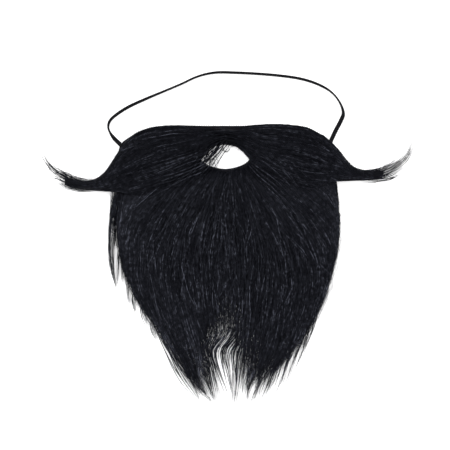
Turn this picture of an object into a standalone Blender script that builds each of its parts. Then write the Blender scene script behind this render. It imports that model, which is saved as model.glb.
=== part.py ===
# Costume beard with a moustache and a head elastic, lying on its back with the hair upward.
# Metres. +Z leaves the surface, +Y goes from the chin to the nose, +X to the right as seen from
# the front. The origin is on the cloth's lower face, on the middle line, below the mouth.

import math
from collections import namedtuple

import bmesh
import bpy

# Sizes
BACKING_THICKNESS = 0.0015
BACKING_HALF_WIDTH = 0.0625      # middle line to the cloth's side edge
BACKING_TOP = 0.0380             # origin up to the cloth's upper edge
BACKING_DROP = 0.0580            # origin down to the cloth's chin end
MOUTH_HEIGHT_ABOVE = 0.0195      # origin up to the line through the mouth hole's corners
MOUTH_WIDTH = 0.0280
MOUTH_UPPER = 0.0077             # that line up to the hole's highest point
MOUTH_LOWER = 0.0060             # that line down to its lowest point
BEARD_HALF_WIDTH = 0.0650
BEARD_DROP = 0.1176              # origin down to the lobes' tips
BEARD_THICKNESS = 0.0090
BEARD_ROOT_THICKNESS = 0.0018    # the part of it that lies under the moustache
MOUSTACHE_HALF_SPAN = 0.1060
MOUSTACHE_TOP = 0.0385           # origin up to its straight upper edge
MOUSTACHE_THICKNESS = 0.0075
LOCK_THICKNESS = 0.0024
ELASTIC_DIAMETER = 0.0018
ELASTIC_RISE = 0.0402            # its ends up to the top of its arch
GAP = 0.0003                     # between pieces that lie on or beside each other
LIP_MARGIN = 0.0010              # cloth that shows round the mouth hole

# Shape of the mouth hole, the hair's underside and the elastic's ends
MOUTH_POWER = 1.7                # 2 is an ellipse, 1 a diamond
BACKING_RINGS = 2
BACKING_SPOKES = 64
SINK_START = 0.0040              # past the cloth's chin end, where the hair leaves its level
SINK_LENGTH = 0.0180             # from there to where it lies on the surface
WING_LAP = 0.0090                # how far the wings keep clear of the beard beyond its roots
WING_LAP_STEP = 0.0045           # length of the step in the wings' undersides there
WING_LEAST = 0.0007              # least thickness of a wing
WING_EDGE = 0.34                 # thickness at its edges (share of its middle's)
LAP_FADES = (0.68, 0.74)         # shares of the half span between which that step ends
TIP_SINKS = (0.72, 0.92)         # the same for the tip, which comes down to the surface
ELASTIC_CLEAR = 1.3 * GAP        # from the cloth's edge
ELASTIC_LIFT = 0.00002
WELD_DISTANCE = 0.000002

# Heights that follow from them
BEARD_FLOOR = BACKING_THICKNESS + GAP
BEARD_ROOT_TOP = BEARD_FLOOR + BEARD_ROOT_THICKNESS
WING_FLOOR = max(BACKING_THICKNESS, ELASTIC_DIAMETER) + GAP
WING_LAP_FLOOR = BEARD_ROOT_TOP + GAP

# The cloth's outline from its upper edge down: height (share of the top, or of the drop where it
# is negative) and how far it reaches to each side (share of the half width).
ClothRow = namedtuple("ClothRow", "height left right")
CLOTH = (
    ClothRow(1.00, 0.30, 0.40),
    ClothRow(0.995, 0.61, 0.70),
    ClothRow(0.92, 0.78, 0.82),
    ClothRow(0.84, 0.86, 0.90),
    ClothRow(0.76, 0.93, 0.96),
    ClothRow(0.68, 0.96, 1.00),
    ClothRow(0.50, 0.98, 1.03),
    ClothRow(0.20, 0.96, 1.01),
    ClothRow(-0.22, 0.87, 0.89),
    ClothRow(-0.56, 0.68, 0.69),
    ClothRow(-0.81, 0.44, 0.45),
    ClothRow(-0.96, 0.19, 0.21),
    ClothRow(-1.00, 0.02, 0.02),
)

# Lines that the beard's hair follows, from left to right. `root`, `quarter`, `half`, `late` and
# `tip` are the sideways places at even steps down the line (share of the beard's half width),
# `top` and `end` its first and last depth (share of the drop), `mat` how much of it the dense
# under layer covers.
HairLine = namedtuple("HairLine", "root quarter half late tip top end mat")
HAIR_LINES = (
    HairLine(-0.92, -0.98, -1.00, -1.00, -0.96, -0.051, 0.43, 0.80),
    HairLine(-0.89, -0.93, -0.85, -0.57, -0.26, -0.056, 0.96, 0.90),
    HairLine(-0.74, -0.80, -0.68, -0.45, -0.15, -0.066, 0.99, 0.90),
    HairLine(-0.57, -0.60, -0.50, -0.31, -0.10, -0.080, 1.00, 0.89),
    HairLine(-0.39, -0.42, -0.34, -0.20, -0.09, -0.095, 0.98, 0.88),
    HairLine(-0.19, -0.21, -0.18, -0.12, -0.09, -0.100, 0.88, 0.86),
    HairLine(0.01, 0.01, 0.02, 0.02, 0.01, -0.100, 0.76, 0.84),
    HairLine(0.18, 0.22, 0.23, 0.18, 0.10, -0.100, 0.93, 0.85),
    HairLine(0.35, 0.44, 0.43, 0.31, 0.11, -0.100, 1.00, 0.86),
    HairLine(0.53, 0.63, 0.60, 0.43, 0.18, -0.085, 0.98, 0.87),
    HairLine(0.70, 0.81, 0.76, 0.55, 0.24, -0.071, 0.96, 0.88),
    HairLine(0.85, 0.95, 0.87, 0.66, 0.31, -0.061, 0.93, 0.90),
    HairLine(0.97, 0.985, 0.92, 0.74, 0.39, -0.056, 0.91, 0.90),
)

# The under layer's thickness down a hair line (share of the beard's thickness), its thickness at
# the outermost lines (share of the middle's), and the shares of a line between which it grows out
# of the thin roots.
MAT_EDGE = 0.55
MAT_ROOTS = (0.09, 0.15)
MAT_ROOT_SHARE = 0.85            # of the roots' thickness, so that locks can lie on it
Depth = namedtuple("Depth", "down thick")
MAT_DEPTHS = (
    Depth(0.00, 0.12),
    Depth(0.08, 0.20),
    Depth(0.20, 0.52),
    Depth(0.45, 0.62),
    Depth(0.70, 0.44),
    Depth(0.90, 0.24),
    Depth(1.00, 0.10),
)

# Rows of locks from the lowest layer up: how many, the first and last hair line, where they
# start and end down the line, their half width in hair lines, and how far they stand above the
# under layer (share of a lock's thickness).
LockRow = namedtuple("LockRow", "count first last start end half_width rise")
BEARD_LOCKS = (
    LockRow(10, 1.3, 11.3, 0.34, 1.00, 0.62, 0.00),
    LockRow(9, 1.2, 11.3, 0.20, 0.82, 0.66, 0.35),
    LockRow(8, 1.6, 11.0, 0.07, 0.60, 0.70, 0.70),
    LockRow(5, 4.1, 8.2, 0.02, 0.40, 0.62, 0.95),
)
# Section of a lock, in shares of its thickness: its back above its edges, its edges and middle
# below the surface that it rides on, and its least height above the keel. The shoulder is how far
# the back's corners lie from the edge to the middle.
LOCK_BACK = 0.75
LOCK_EDGE_SINK = 0.38
LOCK_MIDDLE_SINK = 0.17
LOCK_LEAST = 0.12
LOCK_SHOULDER = 0.55
# Keels are sunk below the surface and stay above the floor, each lock by a step of its own, so
# that no two lie in one plane (shares of a lock's thickness, and how many steps there are).
KEEL_DEPTH, KEEL_DEPTH_STEP, KEEL_DEPTH_STEPS = 0.45, 0.04, 5
KEEL_CLEAR, KEEL_CLEAR_STEP, KEEL_CLEAR_STEPS = 0.06, 0.035, 8
# Width of a lock along its length (share of its full width).
BELLY_PLACES = (0.0, 0.25, 0.6, 0.85, 1.0)
BELLY_WIDTHS = (0.45, 1.0, 0.9, 0.5, 0.06)
# How uneven the lengths of the locks in a row are.
LENGTH_SPREAD = 0.05
# Sections of a lock and rows and columns of the under layers.
BEARD_LOCK_STEPS = 7
WING_LOCK_STEPS = 9
MAT_COLUMNS, MAT_ROWS, MAT_COLUMN_STEP = 23, 13, 0.5
WING_COLUMNS = 8
OUTLINE_STEPS = 48
# Single locks at the sides, whose `first` and `last` are the hair lines at root and tip.
SIDE_LOCKS = (
    LockRow(1, 0.85, 0.10, 0.10, 1.00, 0.46, -0.40),
    LockRow(1, 11.3, 11.6, 0.12, 1.00, 0.60, -0.15),
)

# A moustache wing from the middle to its tip: how far out (share of the half span), the heights
# of its upper and lower edges (share of the top), and its swell (share of the thickness).
WingRow = namedtuple("WingRow", "out upper lower swell")
LEFT_WING = (
    WingRow(0.00, 0.965, 0.68, 0.50),
    WingRow(0.08, 0.97, 0.59, 0.62),
    WingRow(0.13, 0.98, 0.51, 0.75),
    WingRow(0.21, 0.985, 0.39, 0.90),
    WingRow(0.32, 0.98, 0.24, 1.00),
    WingRow(0.43, 0.93, 0.13, 1.00),
    WingRow(0.51, 0.80, 0.05, 0.96),
    WingRow(0.56, 0.64, 0.02, 0.90),
    WingRow(0.61, 0.43, 0.02, 0.80),
    WingRow(0.65, 0.27, 0.03, 0.72),
    WingRow(0.71, 0.17, 0.04, 0.62),
    WingRow(0.80, 0.18, 0.06, 0.54),
    WingRow(0.86, 0.24, 0.11, 0.46),
    WingRow(0.91, 0.31, 0.20, 0.38),
    WingRow(0.95, 0.42, 0.34, 0.28),
    WingRow(0.98, 0.54, 0.52, 0.12),
)
RIGHT_WING = (
    WingRow(0.00, 0.965, 0.68, 0.50),
    WingRow(0.08, 0.975, 0.61, 0.62),
    WingRow(0.13, 0.985, 0.52, 0.75),
    WingRow(0.21, 1.00, 0.42, 0.90),
    WingRow(0.32, 1.00, 0.32, 1.00),
    WingRow(0.43, 0.96, 0.23, 1.00),
    WingRow(0.51, 0.86, 0.18, 0.96),
    WingRow(0.57, 0.74, 0.17, 0.90),
    WingRow(0.62, 0.59, 0.17, 0.80),
    WingRow(0.66, 0.43, 0.18, 0.72),
    WingRow(0.71, 0.34, 0.18, 0.62),
    WingRow(0.79, 0.32, 0.19, 0.54),
    WingRow(0.85, 0.34, 0.23, 0.46),
    WingRow(0.91, 0.41, 0.31, 0.38),
    WingRow(0.96, 0.52, 0.45, 0.28),
    WingRow(1.00, 0.68, 0.66, 0.12),
)

# Locks of one wing: place across it (0 at the upper edge, 1 at the lower), start and end along
# it (0 at the middle, 1 at the tip), and half width across it.
WingLock = namedtuple("WingLock", "across start end half_width")
WING_LOCKS = (
    WingLock(0.10, 0.06, 0.62, 0.10),
    WingLock(0.26, 0.03, 0.80, 0.11),
    WingLock(0.43, 0.05, 0.97, 0.11),
    WingLock(0.60, 0.03, 0.88, 0.11),
    WingLock(0.76, 0.06, 0.99, 0.11),
    WingLock(0.90, 0.08, 0.74, 0.10),
)

# The elastic's route between its ends: sideways place (share of the cloth's half width) and
# height above its ends (share of the rise). The end angles are seen from the mouth's middle.
ELASTIC_ROUTE = (
    (-1.018, 0.100), (-1.061, 0.220), (-1.050, 0.327), (-0.986, 0.423), (-0.874, 0.530),
    (-0.725, 0.633), (-0.565, 0.734), (-0.405, 0.835), (-0.246, 0.943), (-0.086, 0.995),
    (0.106, 0.988), (0.296, 0.968), (0.488, 0.939), (0.678, 0.893), (0.832, 0.817),
    (0.960, 0.705), (1.040, 0.559), (1.077, 0.399), (1.053, 0.280), (1.008, 0.151),
)
ELASTIC_END_ANGLES = (172.5, 9.0)
ELASTIC_POINT_SPACING = 2.4      # in diameters

HAIR_COLOUR = (0.008, 0.0085, 0.013, 1.0)
CLOTH_COLOUR = (0.010, 0.010, 0.014, 1.0)
ELASTIC_COLOUR = (0.016, 0.017, 0.022, 1.0)


def mix(a, b, t):
    return a + (b - a) * t


def clamp(value, low=0.0, high=1.0):
    return max(low, min(high, value))


def between(limits, value):
    """0 up to the first limit, 1 from the second on, a straight line between them."""
    return clamp((value - limits[0]) / (limits[1] - limits[0]))


def arch(t, inset, power):
    """Height of an arch across t from 0 to 1, cut off short of its feet; a low power is flatter."""
    return math.sin(math.pi * clamp(t, inset, 1.0 - inset)) ** power


def table_value(xs, ys, x):
    """Value at x on the straight lines through the points (xs, ys)."""
    if x <= xs[0]:
        return ys[0]
    for i in range(1, len(xs)):
        if x <= xs[i]:
            return mix(ys[i - 1], ys[i], (x - xs[i - 1]) / (xs[i] - xs[i - 1]))
    return ys[-1]


def smooth_value(values, t):
    """Value at t (0 to 1) on the smooth curve through evenly spaced values."""
    place = clamp(t) * (len(values) - 1)
    i = min(int(place), len(values) - 2)
    f = place - i
    before = values[i - 1] if i > 0 else 2 * values[0] - values[1]
    after = values[i + 2] if i + 2 < len(values) else 2 * values[-1] - values[-2]
    a, b = values[i], values[i + 1]
    slope_a, slope_b = (b - before) / 2, (after - a) / 2
    return ((2 * f**3 - 3 * f**2 + 1) * a + (f**3 - 2 * f**2 + f) * slope_a
            + (3 * f**2 - 2 * f**3) * b + (f**3 - f**2) * slope_b)


def smooth_path(points, steps):
    """Points on the smooth curve through a few plan points."""
    xs, ys = [p[0] for p in points], [p[1] for p in points]
    return [(smooth_value(xs, i / steps), smooth_value(ys, i / steps)) for i in range(steps + 1)]


def even_path(points, spacing):
    """The same route with its points at even distances."""
    lengths = [0.0]
    for a, b in zip(points, points[1:]):
        lengths.append(lengths[-1] + math.dist(a, b))
    count = max(2, round(lengths[-1] / spacing))
    places = [lengths[-1] * i / count for i in range(count + 1)]
    xs, ys = [p[0] for p in points], [p[1] for p in points]
    return [(table_value(lengths, xs, p), table_value(lengths, ys, p)) for p in places]


def wave(number):
    """A fixed uneven value between -1 and 1 for each number."""
    return math.sin(number * 12.9898 + 4.1)


def make_material(name, colour, roughness, sheen):
    material = bpy.data.materials.new(name)
    material.use_nodes = True
    shader = material.node_tree.nodes["Principled BSDF"]
    shader.inputs["Base Color"].default_value = colour
    shader.inputs["Roughness"].default_value = roughness
    shader.inputs["Sheen Weight"].default_value = sheen
    material.diffuse_color = colour
    return material


def add_object(name, vertices, faces, material):
    mesh = bpy.data.meshes.new(name)
    mesh.from_pydata(vertices, [], faces)
    mesh.validate()
    shape = bmesh.new()
    shape.from_mesh(mesh)
    bmesh.ops.triangulate(shape, faces=shape.faces)
    bmesh.ops.recalc_face_normals(shape, faces=shape.faces)
    shape.to_mesh(mesh)
    shape.free()
    mesh.materials.append(material)
    thing = bpy.data.objects.new(name, mesh)
    bpy.context.scene.collection.objects.link(thing)
    return thing


def cloth_outline():
    """The cloth's outline, counter-clockwise from the top of its left side."""
    def place(row, side):
        size = BACKING_TOP if row.height > 0 else BACKING_DROP
        reach = row.left if side < 0 else row.right
        return (side * reach * BACKING_HALF_WIDTH, row.height * size)
    left = smooth_path([place(row, -1) for row in CLOTH], OUTLINE_STEPS)
    right = smooth_path([place(row, 1) for row in CLOTH], OUTLINE_STEPS)
    return left + right[::-1]


def edge_at(outline, degrees):
    """Point of the outline in a direction from the mouth's middle, and its outward normal."""
    across = (math.cos(math.radians(degrees)), math.sin(math.radians(degrees)))
    best = None
    for a, b in zip(outline, outline[1:] + outline[:1]):
        ax, ay = a[0], a[1] - MOUTH_HEIGHT_ABOVE
        bx, by = b[0], b[1] - MOUTH_HEIGHT_ABOVE
        side_a = across[0] * ay - across[1] * ax
        side_b = across[0] * by - across[1] * bx
        if side_a * side_b > 0 or side_a == side_b:
            continue
        t = side_a / (side_a - side_b)
        x, y = mix(ax, bx, t), mix(ay, by, t)
        reach = x * across[0] + y * across[1]
        if reach > 0 and (best is None or reach > best[0]):
            length = math.dist(a, b)
            best = (reach, (x, y + MOUTH_HEIGHT_ABOVE), ((by - ay) / length, (ax - bx) / length))
    return best[1], best[2]


def mouth_edge(degrees, margin=0.0):
    """Point of the mouth hole's pointed oval in a direction from its middle."""
    x, y = math.cos(math.radians(degrees)), math.sin(math.radians(degrees))
    half = MOUTH_WIDTH / 2 + margin
    height = (MOUTH_UPPER if y >= 0 else MOUTH_LOWER) + margin
    total = (abs(x) / half) ** MOUTH_POWER + (abs(y) / height) ** MOUTH_POWER
    reach = total ** (-1 / MOUTH_POWER)
    return (x * reach, y * reach + MOUTH_HEIGHT_ABOVE)


def mouth_limit(x, side, margin):
    """Height of the mouth hole's edge at x, a margin away from the hole; side is 1 above, -1 below."""
    half = MOUTH_WIDTH / 2 + margin
    height = (MOUTH_UPPER if side > 0 else MOUTH_LOWER) + margin
    bulge = max(0.0, 1.0 - (abs(x) / half) ** MOUTH_POWER) ** (1 / MOUTH_POWER)
    return MOUTH_HEIGHT_ABOVE + side * height * bulge


def add_backing(material):
    """Flat cloth with the mouth hole, as rings of points between the hole and the outline."""
    outline = cloth_outline()
    count, rings = BACKING_SPOKES, BACKING_RINGS
    vertices, faces = [], []
    for z in (0.0, BACKING_THICKNESS):
        for ring in range(rings + 1):
            for i in range(count):
                inner = mouth_edge(360 * i / count)
                outer = edge_at(outline, 360 * i / count)[0]
                t = ring / rings
                vertices.append((mix(inner[0], outer[0], t), mix(inner[1], outer[1], t), z))
    layer = (rings + 1) * count
    for i in range(count):
        j = (i + 1) % count
        for ring in range(rings):
            a, b = ring * count, (ring + 1) * count
            faces.append((a + i, a + j, b + j, b + i))
            faces.append((layer + a + i, layer + b + i, layer + b + j, layer + a + j))
        faces.append((i, layer + i, layer + j, j))
        edge = rings * count
        faces.append((edge + i, edge + j, layer + edge + j, layer + edge + i))
    return add_object("backing", vertices, faces, material)


def hair_line_place(number, down):
    """Plan place on the hair line with this number (fractions lie between two lines)."""
    first = int(clamp(math.floor(number), 0, len(HAIR_LINES) - 2))
    places = []
    for line in HAIR_LINES[first:first + 2]:
        x = smooth_value((line.root, line.quarter, line.half, line.late, line.tip), down)
        y = mix(line.top, line.end, down)
        places.append((x * BEARD_HALF_WIDTH, -y * BEARD_DROP))
    t = number - first
    x = mix(places[0][0], places[1][0], t)
    y = mix(places[0][1], places[1][1], t)
    return x, min(y, mouth_limit(x, -1, LIP_MARGIN))


def root_height(x):
    """Height of the beard's upper edge at x."""
    xs = [line.root * BEARD_HALF_WIDTH for line in HAIR_LINES]
    ys = [-line.top * BEARD_DROP for line in HAIR_LINES]
    return table_value(xs, ys, x)


def beard_floor(y):
    """Underside of the hair: clear of the cloth, and down on the surface past the cloth's end."""
    past = (-y - BACKING_DROP - SINK_START) / SINK_LENGTH
    return mix(BEARD_FLOOR, 0.0, clamp(past))


def mat_end(number):
    ends = [line.mat for line in HAIR_LINES]
    return table_value(range(len(ends)), ends, number)


def mat_top(number, down):
    """Upper surface of the beard's under layer."""
    y = hair_line_place(number, down)[1]
    crown = arch(number / (len(HAIR_LINES) - 1), 0.06, 0.6)
    thick = table_value([d.down for d in MAT_DEPTHS], [d.thick for d in MAT_DEPTHS], down)
    root = BEARD_ROOT_THICKNESS * MAT_ROOT_SHARE
    body = thick * BEARD_THICKNESS * mix(MAT_EDGE, 1.0, crown)
    return beard_floor(y) + mix(root, body, between(MAT_ROOTS, down))


def add_grid(name, lower, upper, material):
    """Closed body between two grids of points with the same rows and columns."""
    rows, columns = len(lower), len(lower[0])
    vertices = [p for row in lower for p in row] + [p for row in upper for p in row]
    layer = rows * columns
    faces = []
    for r in range(rows - 1):
        for c in range(columns - 1):
            a = r * columns + c
            faces.append((a, a + 1, a + columns + 1, a + columns))
            faces.append((layer + a, layer + a + columns, layer + a + columns + 1, layer + a + 1))
    rim = [c for c in range(columns)]
    rim += [r * columns + columns - 1 for r in range(1, rows)]
    rim += [(rows - 1) * columns + c for c in range(columns - 2, -1, -1)]
    rim += [r * columns for r in range(rows - 2, 0, -1)]
    for a, b in zip(rim, rim[1:] + rim[:1]):
        faces.append((a, layer + a, layer + b, b))
    return add_object(name, vertices, faces, material)


def add_lock(sections, material):
    """Pointed strip with a six-sided section: its left edge, its middle, its right edge, how far
    its back rises above them, and the height of its keel, which is sunk in what lies below."""
    vertices, faces = [], []
    for left, middle, right, lift, keel in sections:
        near_left = [mix(left[k], middle[k], LOCK_SHOULDER) for k in range(3)]
        near_right = [mix(right[k], middle[k], LOCK_SHOULDER) for k in range(3)]
        vertices.append(left)
        vertices.append((near_left[0], near_left[1], near_left[2] + lift))
        vertices.append((near_right[0], near_right[1], near_right[2] + lift))
        vertices.append(right)
        vertices.append((near_right[0], near_right[1], keel))
        vertices.append((near_left[0], near_left[1], keel))
    for s in range(len(sections) - 1):
        for k in range(6):
            a, b = s * 6 + k, s * 6 + (k + 1) % 6
            faces.append((a, b, b + 6, a + 6))
    faces.append(tuple(range(5, -1, -1)))
    last = (len(sections) - 1) * 6
    faces.append(tuple(last + k for k in range(6)))
    return add_object("lock", vertices, faces, material)


def lock_section(trio, surface, floor, thick, serial):
    """Section of a lock that rides on a surface, with a keel depth of its own."""
    depth = KEEL_DEPTH + KEEL_DEPTH_STEP * (serial % KEEL_DEPTH_STEPS)
    clear = KEEL_CLEAR + KEEL_CLEAR_STEP * (serial * 3 % KEEL_CLEAR_STEPS)
    keel = max(min(surface) - depth * LOCK_THICKNESS, floor + clear * LOCK_THICKNESS)
    lowest = keel + LOCK_LEAST * thick
    left, middle, right = [(x, y, max(z, lowest)) for x, y, z in trio]
    return left, middle, right, LOCK_BACK * thick, keel


def belly(t):
    """Width of a lock along its length: narrow root, full middle, pointed end."""
    return table_value(BELLY_PLACES, BELLY_WIDTHS, t)


def beard_lock(row, numbers, end, serial, material):
    """Lock from one hair line at its root to another at its tip."""
    sections = []
    for i in range(BEARD_LOCK_STEPS + 1):
        t = i / BEARD_LOCK_STEPS
        down = mix(row.start, end, t)
        number = mix(numbers[0], numbers[1], t)
        thick = LOCK_THICKNESS * mix(0.2, 1.0, math.sin(math.pi * clamp(t, 0.0, 0.92)) ** 0.5)
        rise = row.rise * LOCK_THICKNESS * math.sin(math.pi * mix(0.0, 0.85, t))
        trio, surface = [], []
        for side in (-1, 0, 1):
            line = number + side * row.half_width * belly(t)
            x, y = hair_line_place(line, down)
            z = mat_top(clamp(line, 1.0, 12.0), clamp(down))
            surface.append(z)
            sink = LOCK_EDGE_SINK if side else LOCK_MIDDLE_SINK
            trio.append((x, y, z + rise - sink * thick))
        sections.append(lock_section(trio, surface, beard_floor(trio[1][1]), thick, serial))
    return add_lock(sections, material)


def drop_inner_shells(shape):
    """Fill the small voids between locks by keeping only the largest shell."""
    left, shells = set(shape.verts), []
    while left:
        shell, front = set(), [left.pop()]
        while front:
            vertex = front.pop()
            shell.add(vertex)
            near = [edge.other_vert(vertex) for edge in vertex.link_edges]
            front += [other for other in near if other in left]
            left.difference_update(near)
        shells.append(shell)
    shells.sort(key=len)
    small = [vertex for shell in shells[:-1] for vertex in shell]
    bmesh.ops.delete(shape, geom=small, context="VERTS")


def fuse(name, pieces):
    """Unite overlapping bodies into the first one and drop the others."""
    base, rest = pieces[0], pieces[1:]
    group = bpy.data.collections.new("locks")
    bpy.context.scene.collection.children.link(group)
    for piece in rest:
        group.objects.link(piece)
    union = base.modifiers.new("union", "BOOLEAN")
    union.operation = "UNION"
    # The locks cross one another in many thin slivers. The manifold solver unites them in one
    # closed surface, where the exact one leaves open edges.
    union.solver = "MANIFOLD"
    union.operand_type = "COLLECTION"
    union.collection = group
    graph = bpy.context.evaluated_depsgraph_get()
    graph.update()
    mesh = bpy.data.meshes.new_from_object(base.evaluated_get(graph))
    base.modifiers.clear()
    base.data = mesh
    base.name = name
    mesh.name = name
    for piece in rest:
        bpy.data.objects.remove(piece, do_unlink=True)
    bpy.data.collections.remove(group)
    shape = bmesh.new()
    shape.from_mesh(mesh)
    bmesh.ops.triangulate(shape, faces=shape.faces)
    bmesh.ops.remove_doubles(shape, verts=shape.verts, dist=WELD_DISTANCE)
    drop_inner_shells(shape)
    shape.to_mesh(mesh)
    shape.free()
    return base


def add_beard(material):
    columns = [1.0 + i * MAT_COLUMN_STEP for i in range(MAT_COLUMNS)]
    lower, upper = [], []
    for r in range(MAT_ROWS):
        low_row, high_row = [], []
        for number in columns:
            down = mat_end(number) * r / (MAT_ROWS - 1)
            x, y = hair_line_place(number, down)
            low_row.append((x, y, beard_floor(y)))
            high_row.append((x, y, mat_top(number, down)))
        lower.append(low_row)
        upper.append(high_row)
    pieces = [add_grid("beard_mat", lower, upper, material)]
    for layer, row in enumerate(BEARD_LOCKS):
        for i in range(row.count):
            number = mix(row.first, row.last, i / (row.count - 1))
            end = min(1.0, row.end * (1.0 + LENGTH_SPREAD * wave(i + 7 * layer)))
            pieces.append(beard_lock(row, (number, number), end, len(pieces), material))
    for row in SIDE_LOCKS:
        numbers = (row.first, row.last)
        pieces.append(beard_lock(row, numbers, row.end, len(pieces), material))
    return fuse("beard_hair", pieces)


def wing_place(wing, side, along, across):
    """Plan place on a wing, with its share of the swell."""
    steps = len(wing) - 1
    place = clamp(along) * steps
    i = min(int(place), steps - 1)
    f = place - i
    a, b = wing[i], wing[i + 1]
    x = mix(a.out, b.out, f) * MOUSTACHE_HALF_SPAN
    upper = mix(a.upper, b.upper, f) * MOUSTACHE_TOP
    lower = mix(a.lower, b.lower, f) * MOUSTACHE_TOP
    lower = max(lower, mouth_limit(x, 1, LIP_MARGIN)) if x < MOUTH_WIDTH / 2 + LIP_MARGIN else lower
    x = max(x, GAP / 2)
    return side * x, mix(upper, lower, across), mix(a.swell, b.swell, f)


def wing_floor(x, y):
    """Underside of a wing: over the cloth and elastic, over the beard's roots, down at the tip."""
    out = abs(x) / MOUSTACHE_HALF_SPAN
    lap = clamp((root_height(x) + WING_LAP - y) / WING_LAP_STEP) * (1.0 - between(LAP_FADES, out))
    free = mix(WING_FLOOR, GAP, between(TIP_SINKS, out))
    return mix(free, WING_LAP_FLOOR, lap)


def wing_top(wing, side, along, across):
    x, y, swell = wing_place(wing, side, along, clamp(across))
    profile = mix(WING_EDGE, 1.0, arch(across, 0.02, 0.7))
    floor = wing_floor(x, y)
    body = mix(WING_FLOOR, GAP, between(TIP_SINKS, abs(x) / MOUSTACHE_HALF_SPAN))
    return max(body + swell * profile * MOUSTACHE_THICKNESS, floor + WING_LEAST)


def wing_lock(wing, side, row, serial, material):
    sections = []
    for i in range(WING_LOCK_STEPS + 1):
        t = i / WING_LOCK_STEPS
        along = mix(row.start, row.end, t)
        trio, surface, floors, thick = [], [], [], 0.0
        for edge in (-1, 0, 1):
            across = row.across + edge * row.half_width * belly(t)
            x, y, swell = wing_place(wing, side, along, across)
            z = wing_top(wing, side, along, across)
            thick = LOCK_THICKNESS * mix(0.25, 1.0, swell)
            surface.append(z)
            floors.append(wing_floor(x, y))
            sink = LOCK_EDGE_SINK if edge else LOCK_MIDDLE_SINK
            trio.append((x, y, z - sink * thick))
        sections.append(lock_section(trio, surface, max(floors), thick, serial))
    return add_lock(sections, material)


def add_wing(name, wing, side, material):
    lower, upper = [], []
    for i in range(2 * len(wing) - 1):
        along = i / (2 * len(wing) - 2)
        low_row, high_row = [], []
        for c in range(WING_COLUMNS):
            across = c / (WING_COLUMNS - 1)
            x, y, _ = wing_place(wing, side, along, across)
            low_row.append((x, y, wing_floor(x, y)))
            high_row.append((x, y, wing_top(wing, side, along, across)))
        lower.append(low_row)
        upper.append(high_row)
    pieces = [add_grid("wing_mat", lower, upper, material)]
    for row in WING_LOCKS:
        pieces.append(wing_lock(wing, side, row, len(pieces), material))
    return fuse(name, pieces)


def elastic_points():
    """The elastic's plan route, square to the cloth's edge at both ends."""
    outline = cloth_outline()
    ends = []
    for degrees in ELASTIC_END_ANGLES:
        point, normal = edge_at(outline, degrees)
        ends.append((point[0] + normal[0] * ELASTIC_CLEAR, point[1] + normal[1] * ELASTIC_CLEAR))
    route = [ends[0]]
    for share, rise in ELASTIC_ROUTE:
        base = mix(ends[0][1], ends[1][1], (share + 1) / 2)
        route.append((share * BACKING_HALF_WIDTH, base + rise * ELASTIC_RISE))
    route.append(ends[1])
    return even_path(smooth_path(route, 200), ELASTIC_POINT_SPACING * ELASTIC_DIAMETER)


def add_elastic(material):
    points = elastic_points()
    curve = bpy.data.curves.new("elastic_cord", "CURVE")
    curve.dimensions = "3D"
    curve.bevel_depth = ELASTIC_DIAMETER / 2
    curve.bevel_resolution = 2
    curve.use_fill_caps = True
    line = curve.splines.new("POLY")
    line.points.add(len(points) - 1)
    for spot, (x, y) in zip(line.points, points):
        spot.co = (x, y, ELASTIC_DIAMETER / 2 + ELASTIC_LIFT, 1.0)
    curve.materials.append(material)
    cord = bpy.data.objects.new("elastic_cord", curve)
    bpy.context.scene.collection.objects.link(cord)
    return cord


def build():
    for thing in list(bpy.data.objects):
        bpy.data.objects.remove(thing, do_unlink=True)
    cloth = make_material("black_cloth", CLOTH_COLOUR, 0.9, 0.3)
    beard = make_material("beard_fibre", HAIR_COLOUR, 0.45, 0.1)
    left = make_material("left_moustache_fibre", HAIR_COLOUR, 0.45, 0.1)
    right = make_material("right_moustache_fibre", HAIR_COLOUR, 0.45, 0.1)
    elastic = make_material("black_elastic", ELASTIC_COLOUR, 0.8, 0.2)
    add_backing(cloth)
    add_beard(beard)
    add_wing("moustache_left", LEFT_WING, -1, left)
    add_wing("moustache_right", RIGHT_WING, 1, right)
    add_elastic(elastic)


build()
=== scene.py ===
# Black costume beard with a moustache and a head elastic, dressed with strands of hair.
# Metres, in the frame of the CAD: +Z leaves the surface, +Y goes from the chin to the nose.

import math
from collections import namedtuple

import bpy
import numpy as np
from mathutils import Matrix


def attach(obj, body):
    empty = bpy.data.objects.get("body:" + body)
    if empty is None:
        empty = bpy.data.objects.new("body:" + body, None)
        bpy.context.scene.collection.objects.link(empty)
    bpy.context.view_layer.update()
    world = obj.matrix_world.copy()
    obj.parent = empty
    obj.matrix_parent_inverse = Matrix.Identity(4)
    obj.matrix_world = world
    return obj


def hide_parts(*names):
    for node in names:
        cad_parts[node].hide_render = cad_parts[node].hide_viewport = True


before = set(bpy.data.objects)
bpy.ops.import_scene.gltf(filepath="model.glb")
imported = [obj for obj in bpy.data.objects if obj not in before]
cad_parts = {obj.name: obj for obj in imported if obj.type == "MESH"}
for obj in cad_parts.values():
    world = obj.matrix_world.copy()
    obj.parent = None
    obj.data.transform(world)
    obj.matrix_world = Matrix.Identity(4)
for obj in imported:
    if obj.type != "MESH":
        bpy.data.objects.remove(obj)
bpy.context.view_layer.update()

# Sizes of the CAD part
BACKING_THICKNESS = 0.0015
BACKING_HALF_WIDTH = 0.0625
BACKING_TOP = 0.0380
BACKING_DROP = 0.0580
MOUTH_HEIGHT_ABOVE = 0.0195
MOUTH_WIDTH = 0.0280
MOUTH_UPPER = 0.0077
MOUTH_LOWER = 0.0060
MOUTH_POWER = 1.7
BEARD_HALF_WIDTH = 0.0650
BEARD_DROP = 0.1176
BEARD_THICKNESS = 0.0090
MOUSTACHE_HALF_SPAN = 0.1060
MOUSTACHE_TOP = 0.0385
MOUSTACHE_THICKNESS = 0.0075
GAP = 0.0003
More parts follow.
